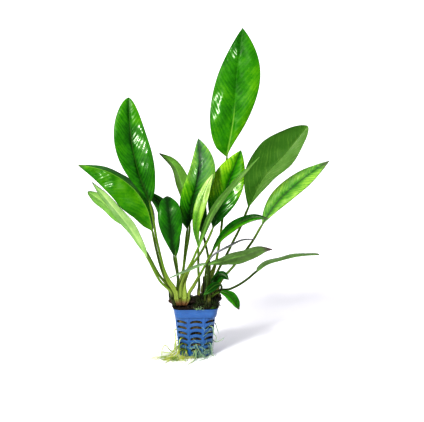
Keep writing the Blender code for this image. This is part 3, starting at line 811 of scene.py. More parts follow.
def grains(count):
    """Grit grains that lie on the medium and along the pot's rim."""
    rng = np.random.default_rng(21)
    shape, faces = lump_shape()
    parts = Parts()
    for i in range(count):
        angle = rng.uniform(0, 2 * pi)
        at_rim = i % 2 == 0
        reach = rng.uniform(0.9, 1.0) if at_rim else sqrt(rng.uniform(0.0, 0.85))
        radius = square_radius(angle, COLLAR_HALF_TOP + 0.4, COLLAR_CORNER) * reach
        z = rng.uniform(POT_HEIGHT + 0.6, MEDIUM_TOP) if at_rim else MEDIUM_TOP + rng.uniform(-0.4, 0.3)
        size = rng.uniform(0.25, 0.85)
        stretch = rng.uniform(0.6, 1.2, 3)
        lump = shape * (1 + rng.uniform(-0.22, 0.22, (12, 1))) * stretch * size
        parts.add(lump + at_angle(angle, radius, z), faces)
    return parts


def grain_finish(settings):
    """Grains from near black to brown."""
    look = Finish("grit_grain", 0.7, 0.3)
    tone = look.noise(230, 2)
    colour = look.layers(
        settings.dark, (tone.step(0.45, 0.7), settings.brown),
        (look.noise(310, 1).step(0.66, 0.72, 0.0, 0.5), (0.22, 0.18, 0.12)))
    return look.finish(colour, tone.step(0.3, 0.7, 0.5, 0.9), look.noise(2500), 0.5, 0.0002)


def wool_fibres(count):
    """Fibres of mineral wool that show in the slots."""
    rng = np.random.default_rng(31)
    parts = Parts()
    for _ in range(count):
        column = rng.integers(0, COLUMNS)
        row = rng.integers(0, ROWS)
        angle = column_angle(column) + radians(rng.uniform(-17, 17))
        z = slot_height(row) + rng.uniform(-1.4, 1.6)
        half, corner = body_shape(z)
        lean = rng.normal(0, 0.35)
        length = rng.uniform(3, 8)
        sag = rng.uniform(-0.8, 0.8)
        here = []
        for step in np.linspace(-0.5, 0.5, 7) * length:
            a = angle + step * cos(lean) / half
            lift = step * sin(lean) + sag * (1 - (2 * step / length) ** 2)
            radius = square_radius(a, half - WALL - 0.5, corner - WALL) + 0.25 * cos(step)
            here.append(at_angle(a, radius, z + lift))
        parts.tube(here, rng.uniform(0.06, 0.16), 4)
    return parts


def fibre_finish(settings):
    """Fibres from straw yellow to brown."""
    look = Finish("wool_fibre", 0.75, 0.25)
    tone = look.noise(180, 2)
    colour = look.layers(
        settings.brown, (tone.step(0.38, 0.66), settings.wool),
        (look.noise(95, 2).step(0.58, 0.66, 0.0, 0.8), (0.45, 0.42, 0.24)))
    return look.finish(colour, tone.step(0.3, 0.7, 0.6, 0.9), look.noise(3000, 2), 0.4, 0.0001)


def moss():
    """Tufts of short pointed moss blades."""
    rng = np.random.default_rng(41)
    parts = Parts()
    for x, y, spread, count, length in MOSS_SPOTS:
        for _ in range(count):
            at = np.array((x, y, 0.0)) + (*rng.normal(0, spread / 2, 2), 0.0)
            at[0] = np.clip(at[0], -COLLAR_HALF_TOP - 0.5, COLLAR_HALF_TOP + 0.5)
            at[1] = np.clip(at[1], -COLLAR_HALF_TOP - 0.8, COLLAR_HALF_TOP + 0.8)
            over_rim = max(abs(at[0]), abs(at[1])) > COLLAR_HALF_TOP - 0.8
            at[2] = POT_HEIGHT + rng.uniform(-0.2, 2.0) if over_rim else MEDIUM_TOP - 0.6
            at[2] += (MOUND_RISE + rng.uniform(0.0, 5.0)) * mound_share([at])[0] + rng.uniform(0.0, 1.5)
            lean = np.array((*rng.normal(0, 0.6, 2), rng.uniform(0.2, 1.0)))
            if over_rim:
                lean += (at * (1, 1, 0)) / COLLAR_HALF_TOP * 0.9 - (0, 0, 0.7)
            lean = unit(lean)
            flat = unit(np.cross(lean, rng.normal(size=3)))
            reach = length * rng.uniform(0.5, 1.2)
            thick = np.cross(lean, flat) * 0.07
            flat = flat * 0.22 * rng.uniform(0.7, 1.3)
            middle = at + lean * reach * 0.55
            parts.add(
                [at - flat * 0.6, at + flat * 0.6, middle + flat + thick, middle - flat + thick,
                 middle + flat - thick, middle - flat - thick, at + lean * reach - (0, 0, 0.25 * reach)],
                [(0, 1, 2, 3), (1, 0, 5, 4)],
                [(3, 2, 6), (4, 5, 6), (0, 3, 5), (1, 4, 2), (2, 4, 6), (5, 3, 6)])
    return parts


def moss_finish(settings):
    """Moss from deep green to the pale blades on the rim."""
    look = Finish("moss_blade", 0.6, 0.3)
    x, y, _ = look.split(look.place)
    tone = look.noise(420, 2)
    colour = look.layers(
        (0.010, 0.028, 0.004), (tone.step(0.35, 0.7), settings.moss),
        (y.step(-0.0225, -0.0250) * x.step(0.012, 0.006), settings.pale_moss))
    return look.finish(colour, tone.step(0.3, 0.8, 0.5, 0.75), look.noise(2500, 2), 0.3, 0.0001)


def stem_top(node, x, y):
    """Height of a creeping stem's upper surface over a point, or the medium's beside it."""
    left, right, middle, depth, height = RHIZOMES[node]
    scale = max(0.0, 1 - abs(2 * (x - left) / (right - left) - 1) ** 3.2) ** 0.5
    across = (y - middle) / (depth * scale) if scale > 0 else 1.0
    if abs(across) >= 1:
        return MEDIUM_TOP - 0.4
    return MEDIUM_TOP + 0.3 + height * (1 + scale * sqrt(1 - across ** 2))


def rootlets(count):
    """Old dark rootlets that arch over the mound in the crown, every fourth over a stem's end."""
    rng = np.random.default_rng(71)
    parts = Parts()
    for i in range(count):
        on_stem = i % 4 == 0
        middle = MOUND_MIDDLE + rng.normal(0, 1, 2) * MOUND_SPREAD * 0.95
        middle = np.clip(middle, (-6.0, -COLLAR_HALF_TOP), (COLLAR_HALF_TOP - 1.0, 4.0))
        ground = MEDIUM_TOP - 0.6 + MOUND_RISE * mound_share([middle])[0]
        if on_stem:
            middle = STEM_TANGLE + rng.normal(0, 1, 2) * STEM_TANGLE_SPREAD
            ground = stem_top("rhizome_left", *middle)
        heading = unit((*rng.normal(0, 1, 2), 0.0))
        reach = rng.uniform(3.0, 9.0)
        rise = rng.uniform(0.6, 5.0) * (1.0 if i % 3 else 1.8) * (0.4 if on_stem else 1.0)
        t = np.linspace(-0.5, 0.5, 9)[:, None]
        line = np.array((*middle, ground)) + heading * t * reach
        line += np.array((0, 0, rise)) * (1 - 4 * t ** 2)
        line[:, 2] -= 0.8
        line += np.stack([wave_noise(line, 0.6, 300 + i + k, 2) for k in range(3)], -1) * 0.7
        parts.tube(line, np.linspace(0.34, 0.16, 9) * rng.uniform(0.6, 1.3), 5)
    return parts


def rootlet_finish(settings):
    """Old rootlets from black brown to olive."""
    look = Finish("old_rootlet", 0.55, 0.35)
    tone = look.noise(160)
    colour = look.layers(
        (0.010, 0.009, 0.004), (tone.step(0.40, 0.62), (0.030, 0.045, 0.010)),
        (look.noise(90, 2).step(0.58, 0.70, 0.0, 0.7), settings.brown))
    return look.finish(colour, tone.step(0.3, 0.7, 0.4, 0.7), look.noise(2200, 2), 0.4, 0.0001)


class ANUBIAS_OT_medium(bpy.types.Operator):
    """Builds the growing medium with its grains, wool fibres and moss"""

    bl_idname = "anubias.medium"
    bl_label = "Growing Medium"

    def execute(self, context):
        settings = context.scene.anubias_medium
        new_piece(
            "wool_and_grit", medium_mass(), medium_finish(settings), ["growing_medium"])
        new_piece("grit_grains", grains(settings.grains), grain_finish(settings))
        new_piece("wool_fibres", wool_fibres(settings.fibres), fibre_finish(settings))
        new_piece("moss_tufts", moss(), moss_finish(settings))
        new_piece("old_rootlets", rootlets(settings.rootlets), rootlet_finish(settings))
        return {"FINISHED"}


# Creeping stems and the old stalk

# Left and right end, middle in y, half depth and half height of each creeping stem.
RHIZOMES = {
    "rhizome_left": (-29.5, 5.5, -13.5, 6.6, 4.3),
    "rhizome_right": (8.5, 29.0, -3.2, 5.0, 4.0),
    "rhizome_back": (4.0, 29.5, 9.5, 6.0, 4.2),
}
SCAR_GAP = 2.6


def rhizome_parts(spec, seed):
    """A knobbly creeping stem with leaf scars round it."""
    left, right, middle, depth, height = spec
    turn = turns(44)
    level = np.zeros(len(turn))
    outward = np.stack([level, np.cos(turn), np.sin(turn)], -1)
    rings = []
    for share in np.linspace(0.004, 0.996, 64):
        x = between(left, right, share)
        scale = max(0.02, 1 - abs(2 * share - 1) ** 3.2) ** 0.5
        ring = outward * (0, depth * scale, height * scale) + (x, middle, MEDIUM_TOP + 0.3 + height)
        scar = abs(((x + 0.6 * sin(seed + x)) / SCAR_GAP) % 1 - 0.5) * 2
        rise = 0.35 * wave_noise(ring, 0.7, seed) + 0.15 * wave_noise(ring, 2.4, seed + 1)
        rise -= 0.35 * max(0.0, 1 - scar * 3)
        rings.append(ring + outward * (rise * min(1.0, scale * 1.5) - 0.25)[:, None])
    parts = Parts()
    parts.skin(rings)
    return parts


def rhizome_finish(settings):
    """Brown bark with dark scars and a green flush on top."""
    look = Finish("creeping_stem", 0.6, 0.35)
    x, _, z = look.split(look.place)
    ring = (x * (1 / (SCAR_GAP * MM)) + look.noise(200, 2) * 0.8).wave()
    bark = look.noise(520, 5, 0.7)
    colour = look.layers(
        settings.dark_brown, (bark.step(0.4, 0.7), settings.brown),
        (ring.step(0.42, 0.5, 0.0, 0.8), settings.dark_brown),
        (z.step(0.062, 0.067) * look.noise(120).step(0.4, 0.6) * 0.7, settings.green),
        (x.step(-0.016, -0.004, 0.0, 0.85), settings.dark_brown))
    return look.finish(colour, bark.step(0.3, 0.8, 0.45, 0.85), bark, 0.7, 0.0003)


def old_stalk_parts():
    """A dark hollow stump with a ragged mouth."""
    low, high = (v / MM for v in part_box("old_stalk"))
    path = Path([(9.6, 5.2, low.z - 2.5), (9.6, 5.2, low.z), (10, 4, 75), (10, 2, high.z)])
    turn = turns(20)[:, None]
    profile = [(length, 1.55 - 0.3 * length / path.total) for length in np.linspace(0, path.total, 24)]
    profile += [(path.total - 0.05, 0.85), (path.total - 3.0, 0.75), (path.total - 6.0, 0.4)]
    rings = []
    for index, (length, radius) in enumerate(profile):
        ahead = path.along(length)
        side = unit(np.cross(ahead, [0.0, -1.0, 0.0]))
        up = np.cross(side, ahead)
        wall = radius * (1 + 0.06 * np.sin(5 * turn + 1) + 0.04 * np.sin(11 * turn))
        ring = path.at(length) + side * np.cos(turn) * wall + up * np.sin(turn) * wall
        if 23 <= index <= 24:
            ring += ahead * (0.7 * np.sin(3 * turn + 0.5) - 0.5 + 0.3 * np.sin(7 * turn))
        rings.append(ring)
    parts = Parts()
    parts.skin(rings)
    return parts


def old_stalk_finish(settings):
    """Dark wet stalk with an olive edge."""
    look = Finish("cut_off_stalk", 0.45, 0.4)
    streak = look.noise(160, 3, 0.6, look.drawn_out(6.0, 6.0, 1.0))
    rim = look.split(look.place)[2].step(0.081, 0.085) * 0.7
    colour = look.layers(
        settings.dark_brown, (streak.step(0.4, 0.65), (0.035, 0.045, 0.012)), (rim, (0.10, 0.14, 0.05)))
    return look.finish(colour, streak.step(0.3, 0.7, 0.35, 0.6), streak, 0.5, 0.0002)


def turned(node):
    """A piece's own name from its node's: rhizome_left gives left_rhizome."""
    kind, place = node.split("_", 1)
    return f"{place}_{kind}"


class ANUBIAS_OT_stems(bpy.types.Operator):
    """Builds the creeping stems and the cut-off stalk"""

    bl_idname = "anubias.stems"
    bl_label = "Creeping Stems"

    def execute(self, context):
        settings = context.scene.anubias_stems
        finish = rhizome_finish(settings)
        for seed, (node, spec) in enumerate(RHIZOMES.items()):
            new_piece(turned(node), rhizome_parts(spec, seed * 7 + 3), finish, [node])
        new_piece(
            turned("old_stalk"), old_stalk_parts(), old_stalk_finish(settings), ["old_stalk"])
        return {"FINISHED"}


# Leaves

STALK_RADIUS = 1.25
HEEL = (0.0, -1.2, -3.6)
# Feet that stand on the front of the left creeping stem reach down over it toward one place.
FRONT_FOOT_Y = -15.2
FRONT_HEEL = (-17.0, -21.3, 58.6)
FRONT_BEND = (-17.0, -20.7, 63.0)
FRONT_DRAW = 0.40
TIP_HALF = 0.25
BLADE_ROUNDNESS = 0.85
VEIN_SLOPE = 1.0
VEIN_BEND = 0.55
# The way a blade faces where it mirrors the key light to the front, and how far it may lean.
SHINE = np.array((-0.281, -0.900, 0.331))
MOST_LEAN = 0.55
GLOSS_TINT = (0.92, 1.0, 0.80, 1.0)


def leaf(on, foot, stalk, blade, width, face, left, right, **looks):
    """One leaf's sizes and looks.

    on and foot: what its stalk grows from, and where; stalk and blade: points that the stalk and
    the midrib pass; width: across the blade; face: the way its upper side looks; left and right:
    tone of each half's upper side beside the midrib and at the edge, from 0 deep to 1 yellow, with
    painted light and shade in it: paler on a half that faces the light, darker on one in shade;
    looks: the sheath's length and half width, and what differs from the plain leaf below.
    """
    plain = dict(
        # Shape: raise of each half in degrees, where the blade is widest and how much that
        # differs between its halves, share of its width that the left half keeps, power of the
        # outline toward the tip, where a lower one is blunter, wave and roll of the edge, and
        # depth of the midrib's groove.
        fold=10, widest=0.50, skew=0.0, slim_left=1.0, blunt=BLADE_ROUNDNESS, wave=0.4, curl=0.4,
        groove=0.35,
        # Tones: change at the blade's start and tip, each half's underside with painted light and shade
        # in it, and a young pale part that is partly a painted sheen.
        low=0.0, high=0.0, under=(0.3, 0.3), pale=0.0,
        # Veins: how much they show above and below, distance between them, tone of the midrib
        # from 0 dark with painted shade in its groove to 1 pale, and how far along it shows.
        stripe=0.3, under_stripe=None, gap=1.0, rib=0.1, rib_reach=1.0,
        # Gloss: its strength on the dry blade and how much duller that is, glossy wet places
        # with share along, share across and size, their strength, and how far they calm the
        # quilting there.
        shine=0.20, dull=0.0, wet=(), coat=0.9, calm=0.55,
        # Age: brown tip and how much further it reaches, brown edge, share of grey film and where
        # it begins along the blade; also how dark the stalk is, and the reach and depth of the painted
        # shade at its foot.
        tip=0.0, reach_tip=0.0, edge=0.1, stalk_dark=0.1, dirt=0.0, dry=0.0, dry_from=None)
    made = SimpleNamespace(**{**plain, **looks}, on=on, foot=foot, stalk=stalk, blade=blade,
                           width=width, face=face, left=left, right=right)
    if made.under_stripe is None:
        made.under_stripe = made.stripe
    return made


LEAVES = {
    "leaf_tallest": leaf(
        "rhizome_back", (15.5, 11.5), [(24, 13, 99), (31, 17, 143), (34, 22, 179)],
        [(37, 26, 212), (44, 31, 250), (49, 40, 303), (56, 50, 350)],
        52, (-0.1, -1, 0.2), (0.46, 0.50), (0.46, 0.66), fold=6, widest=0.48, skew=0.13, low=0.08,
        high=-0.18, stripe=0.35, rib=0.75, rib_reach=0.38, curl=1.0, wave=0.5, stalk_dark=0.15,
        sheath=(34, 2.4), dull=0.12, shine=0.12, groove=0.12, coat=0.42, calm=-0.1,
        wet=((0.33, -0.80, 7.0), (0.45, -0.74, 4.0), (0.79, -0.42, 4.0))),
    "leaf_tall_left": leaf(
        "rhizome_left", (-20.8, -17.4), [(-29.5, -15.5, 85), (-40, -10, 122)],
        [(-48, -4, 166), (-58, 0, 193), (-66, 6, 226), (-69, 18, 277)],
        39, (0.1, -1, 0.15), (0.32, 0.50), (0.40, 0.55), fold=16, widest=0.51, skew=-0.08, blunt=0.6,
        low=-0.10, high=0.12, stripe=0.6, curl=0.6, sheath=(38, 2.6), gap=0.75, shine=0.16, coat=0.8,
        calm=-1.0, wet=((0.40, 0.60, 6.0), (0.54, 0.62, 6.0), (0.67, 0.60, 4.0))),
    "leaf_broad_left": leaf(
        "rhizome_left", (-22.3, -10.3), [(-33, -3, 87), (-41, 6, 114)],
        [(-45, 12, 134), (-51, 16, 158), (-61, 20, 174), (-87, 26, 194), (-124, 30, 204)],
        46, (0.31, -0.71, 0.60), (0.62, 0.50), (0.30, 0.22), fold=-35, widest=0.42, low=0.05,
        high=0.08, stripe=0.25, rib=0.8, tip=0.5, wave=0.8, sheath=(30, 2.3), coat=0.4, calm=-0.8,
        wet=((0.78, -0.12, 3.0), (0.72, -0.40, 3.5), (0.66, -0.62, 3.0))),
    "leaf_narrow_left": leaf(
        "rhizome_left", (-25.5, -15.5), [(-38, -21, 85)],
        [(-51, -27, 111), (-67, -33, 141), (-87, -38, 168), (-108, -41, 194)],
        25, (0.62, 0.5, 0.55), (0.4, 0.4), (0.4, 0.4), fold=5, rib=0.6, under=(0.80, 0.68), edge=0.45,
        curl=0.8, wave=0.6, stalk_dark=0.0, sheath=(28, 2.2), dirt=9, dry=0.10),
    "leaf_low_left": leaf(
        "rhizome_left", (-26.8, -9.5), [(-40, -13, 92), (-52, -15, 115)],
        [(-64, -17, 134), (-79, -18, 150), (-96, -20, 169), (-113, -23, 182)],
        23, (0.5, 0.7, 0.5), (0.4, 0.4), (0.4, 0.4), fold=8, widest=0.66, blunt=0.6, stripe=0.35,
        rib=0.6, under=(0.74, 0.66), edge=0.25, curl=0.8, wave=0.5, sheath=(24, 2.0), dirt=10),
    "leaf_behind_left": leaf(
        "rhizome_left", (-17.6, -9.4), [(-18, -2, 82)],
        [(-20, 7, 106), (-24, 15, 132), (-35, 24, 160), (-56, 32, 177)],
        20, (0.3, -0.8, 0.6), (0.28, 0.34), (0.30, 0.36), widest=0.45, stripe=0.25, rib=0.3, tip=0.3,
        curl=0.5, stalk_dark=0.3, sheath=(18, 1.9)),
    "leaf_rear_pale": leaf(
        "rhizome_left", (-13.4, -9.2), [(-13.4, -3, 84), (-10.1, 8, 103)],
        [(-4, 22, 138), (-11, 32, 179), (-21, 36, 203), (-36, 38, 215)],
        24, (0.55, 0.6, 0.5), (0.5, 0.5), (0.5, 0.5), fold=12, rib=0.5, under=(0.52, 0.42), tip=0.6,
        edge=0.35, curl=0.5, sheath=(24, 1.9)),
    "leaf_dark_front": leaf(
        "rhizome_left", (-18.9, -13.3), [(-19.8, -18.8, 77), (-19.5, -24, 87)],
        [(-24, -30, 113), (-27, -32, 144), (-29, -28, 165), (-30, -16, 175)],
        26, (0.05, -1, 0.1), (0.14, 0.30), (0.22, 0.40), widest=0.60, blunt=0.6, low=-0.06,
        high=-0.08, stripe=0.35, rib=0.0, under=(0.2, 0.2), tip=0.3, edge=0.35, curl=0.8, wave=0.5,
        stalk_dark=0.75, sheath=(16, 2.0)),
    "leaf_middle": leaf(
        "rhizome_left", (-14.6, -13.2), [(-14.3, -11.5, 82), (-12.4, -9, 99)],
        [(-8, -3, 138), (-3, 1, 165), (5, 8, 198), (5, 16, 233)],
        37, (0.05, -1, 0.15), (0.64, 0.84), (0.38, 0.80), fold=20, widest=0.49, skew=0.12,
        slim_left=0.80, low=-0.52, high=-0.02, stripe=0.75, rib=0.0, under=(0.4, 0.4), curl=0.6,
        wave=0.6, sheath=(30, 3.3), dull=0.14, shine=0.14, coat=0.6, calm=-0.3, dry=0.14,
        dry_from=0.42, wet=((0.70, -0.30, 4.5), (0.58, -0.40, 3.5))),
    "leaf_yellow_right": leaf(
        "rhizome_left", (-12.2, -17.2), [(-13.2, -15.2, 81), (-8.2, -12, 93), (6.2, -4, 112)],
        [(20, 6, 137), (25, 9, 152), (39, 17, 188), (52, 24, 219)],
        37, (-0.2, -0.95, 0.2), (0.74, 0.98), (0.54, 0.80), fold=16, widest=0.52, low=-0.80,
        high=0.04, stripe=1.0, rib=0.0, under=(0.4, 0.4), curl=0.6, wave=0.6, stalk_dark=0.05,
        sheath=(40, 2.6), dull=0.06, shine=0.14, coat=0.7, calm=-0.6,
        wet=((0.38, 0.66, 4.0), (0.52, 0.68, 3.5), (0.48, -0.72, 3.0))),
    "leaf_pale_middle": leaf(
        "rhizome_left", (3.4, -11.0), [(4, -11, 79), (3, -12, 94)],
        [(3, -12, 117), (1, -11, 142), (6, -9, 166), (13, -7, 185), (20, -5, 198)],
        13, (-0.28, -0.9, 0.33), (0.72, 0.88), (0.82, 1.0), fold=5, widest=0.58, low=-0.30,
        high=0.20, stripe=0.35, rib=0.4, pale=0.72, under=(0.5, 0.5), stalk_dark=0.3,
        sheath=(14, 1.7), shine=0.4, wet=((0.74, 0.10, 4.0),)),
    "leaf_diagonal": leaf(
        "rhizome_left", (-16.5, -17.9), [(-15.7, -18.6, 82), (-10, -19.5, 95), (-4.7, -20.5, 105)],
        [(2, -22.5, 121), (17, -28, 160), (42, -36, 194), (64, -44, 219)],
        14, (-0.6, 0.62, 0.4), (0.5, 0.5), (0.5, 0.5), fold=0, widest=0.42, stripe=0.1, rib=0.6,
        under=(0.72, 0.60), curl=0.3, wave=0.2, stalk_dark=0.0, sheath=(44, 2.7)),
    "leaf_big_right": leaf(
        "rhizome_back", (21.0, 11.8), [(38, 6, 114), (49, 1, 138)],
        [(57, -4, 160), (72, -11, 193), (95, -18, 220), (117, -24, 249)],
        53, (-0.33, 0.83, 0.21), (0.35, 0.35), (0.35, 0.35), fold=27, widest=0.55, blunt=0.65,
        stripe=0.35, rib=0.45, under=(0.68, 0.03), under_stripe=1.8, edge=0.25, curl=0.8, wave=0.8,
        stalk_dark=0.7, sheath=(24, 2.3)),
    "leaf_narrow_right": leaf(
        "rhizome_back", (25.0, 7.5), [(43, 8, 95), (64, 8, 123)],
        [(74, 9, 140), (93, 12, 166), (119, 16, 188), (148, 20, 207)],
        24, (-0.35, -0.85, 0.45), (0.76, 0.82), (0.76, 0.88), fold=12, widest=0.48, skew=0.05,
        low=-0.04, high=-0.10, stripe=0.9, dull=0.08, under=(0.4, 0.4), tip=0.55, reach_tip=0.07,
        edge=0.3, stalk_dark=0.35, sheath=(22, 2.1), pale=0.12, dry=0.07),
    "leaf_arching": leaf(
        "rhizome_left", (-7.8, -17.7), [(-2, -19, 80), (7.7, -21, 98)],
        [(16, -24, 115), (30, -32, 137), (48, -40, 151), (63, -46, 156), (73, -49, 155)],
        15, (-0.6, -0.5, 0.62), (0.20, 0.10), (0.40, 0.66), fold=12, stripe=0.25, rib=0.2,
        under=(0.5, 0.5), edge=0.9, tip=0.4, curl=0.3, wave=0.3, stalk_dark=0.05, sheath=(36, 2.2)),
    "leaf_edge_on": leaf(
        "rhizome_right", (11.3, -2.0), [(12, -2, 93)],
        [(15, -3, 104), (38, -8, 120), (50, -10, 126), (63, -12, 127)],
        9, (-0.5, 0.1, 0.86), (0.1, 0.1), (0.1, 0.1), stripe=0.1, rib=0.3, under=(0.5, 0.5),
        edge=0.6, tip=0.5, curl=0.2, wave=0.2, stalk_dark=0.7, sheath=(10, 1.7), dry=0.75),
    "leaf_low_right": leaf(
        "growing_medium", (13.8, -19.8), [(14.3, -21.5, 78), (13.6, -26, 93)],
        [(11, -32, 103), (27, -40, 110), (49, -50, 118), (66, -57, 125), (76, -62, 125)],
        26, (-0.1, 0.62, 0.7), (0.3, 0.3), (0.3, 0.3), fold=-6, widest=0.52, rib=0.35,
        under=(0.36, 0.42), edge=0.45, tip=1.0, reach_tip=0.07, wave=0.6, stalk_dark=0.75,
        sheath=(16, 2.0), dry=0.07),
    "leaf_thin_left": leaf(
        "growing_medium", (9.4, -18.6), [(11.6, -24, 81), (11.8, -31, 94)],
        [(9, -38, 106), (-8, -42, 101), (-29, -48, 94)],
        9, (-0.3, 0.5, 0.8), (0.5, 0.5), (0.5, 0.5), widest=0.40, stripe=0.1, rib=0.4,
        under=(0.62, 0.5), tip=0.2, curl=0.2, wave=0.2, stalk_dark=0.8, sheath=(10, 1.6), dry=0.30),
    "leaf_far_right": leaf(
        "rhizome_right", (25.0, -4.0), [(37, -9, 73), (56, -14, 85)],
        [(65, -18, 94), (75, -22, 102), (89, -26, 107), (108, -31, 112), (129, -36, 114)],
        20, (-0.3, 0.4, 0.85), (0.35, 0.35), (0.35, 0.35), widest=0.33, blunt=0.3, stripe=0.2,
        rib=0.35, under=(0.40, 0.46), edge=0.5, tip=0.5, wave=0.5, stalk_dark=0.85,
        sheath=(10, 1.6), dry=0.10),
    "leaf_drooping": leaf(
        "growing_medium", (11.5, -15.0), [(17, -17, 67)],
        [(24, -20, 72), (34, -24, 70), (40, -27, 64), (45, -30, 55)],
        14, (0.5, -0.7, 0.5), (0.34, 0.44), (0.38, 0.5), widest=0.55, rib=0.2, tip=1.0, wave=0.3,
        stalk_dark=0.0, sheath=(6, 1.5)),
    "leaf_small_crown": leaf(
        "growing_medium", (9.0, -10.5), [(11, -12, 66)],
        [(13, -12, 71), (22, -13, 84), (28, -14.5, 89), (35, -18, 85)],
        12, (-0.2, -0.7, 0.7), (0.16, 0.26), (0.20, 0.30), widest=0.60, stripe=0.2,
        under=(0.2, 0.2), tip=0.6, wave=0.3, stalk_dark=0.9, sheath=(6, 1.5)),
    "leaf_crown_front": leaf(
        "rhizome_right", (20.5, -5.5), [(26, -12, 71), (27.5, -17, 77.5)],
        [(25.5, -21, 80.5), (20.5, -25, 80.5), (14.5, -28, 77), (7, -30, 71)],
        9, (0.1, -0.8, 0.7), (0.09, 0.16), (0.10, 0.18), widest=0.45, high=0.35, rib=0.2, tip=0.1,
        curl=0.3, wave=0.3, stalk_dark=0.7, sheath=(12, 2.2)),
    "leaf_hidden_middle": leaf(
        "rhizome_back", (9.5, 9.0), [(17, 12, 91), (15, 14, 107)],
        [(11, 16, 126), (8, 18, 150), (10, 20, 177)],
        14, (-0.3, -0.9, 0.3), (0.2, 0.3), (0.25, 0.35), stripe=0.4, curl=0.3, wave=0.3,
        stalk_dark=0.5, sheath=(16, 2.2)),
}


def blade_half_width(spec, share, side):
    """Width of one half of the blade (side -1 left, 1 right) at shares of its length."""
    power = log(0.5) / log(spec.widest + side * spec.skew)
    share = np.clip(share, 0.0, 1.0)
    roundness = between(BLADE_ROUNDNESS, spec.blunt, share)
    half = spec.width / 2 * np.maximum(0.0, np.sin(pi * share ** power)) ** roundness
    return np.maximum(half * (spec.slim_left if side < 0 else 1.0), TIP_HALF)


def leaf_start(spec):
    """Points of the lowest part of a leaf, from its heel to just over its foot."""
    foot = np.array((*spec.foot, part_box(spec.on)[1].z / MM))
    heel = [foot + HEEL]
    if spec.on == "rhizome_left" and foot[1] < FRONT_FOOT_Y:
        heel = [(between(foot[0], place[0], draw), *place[1:])
                for place, draw in ((FRONT_HEEL, FRONT_DRAW), (FRONT_BEND, FRONT_DRAW / 3))]
        foot = foot - (0.0, 0.0, 1.0)
    return heel + [foot, foot + (0, 0, 3.5)]


def wet_places(spec, share, reach, lift, s_mm, frame_at):
    """How far the wet places flatten and lean the blade, and how wet it is, at each point."""
    lean = np.zeros_like(reach)
    wet = np.zeros_like(reach)
    top = reach.shape[1] // 2 + 1
    for along, across, size in spec.wet:
        ring = int(np.argmin(np.abs(share - along)))
        side, ahead, up = (axis[ring] for axis in frame_at)
        line = reach[ring, :top]
        middle_x = across * abs(line[-1 if across > 0 else 0])
        column = int(np.argmin(np.abs(line - middle_x)))
        rise = np.gradient(lift[ring, :top], line)
        bow = np.gradient(rise, line)[column]
        slope_x = np.clip(-(SHINE @ side) / (SHINE @ up) - rise[column], -MOST_LEAN, MOST_LEAN)
        slope_s = np.clip(-(SHINE @ ahead) / (SHINE @ up), -MOST_LEAN, MOST_LEAN)
        off_x = reach - middle_x
        off_s = s_mm - s_mm[ring]
        near = np.exp(-((off_x ** 2 + (off_s * 0.6) ** 2) / (2 * size ** 2)) ** 1.5)
        lean += (slope_x * off_x + slope_s * off_s - 0.5 * bow * off_x ** 2) * near
        wet = np.maximum(wet, near)
    return lean, wet


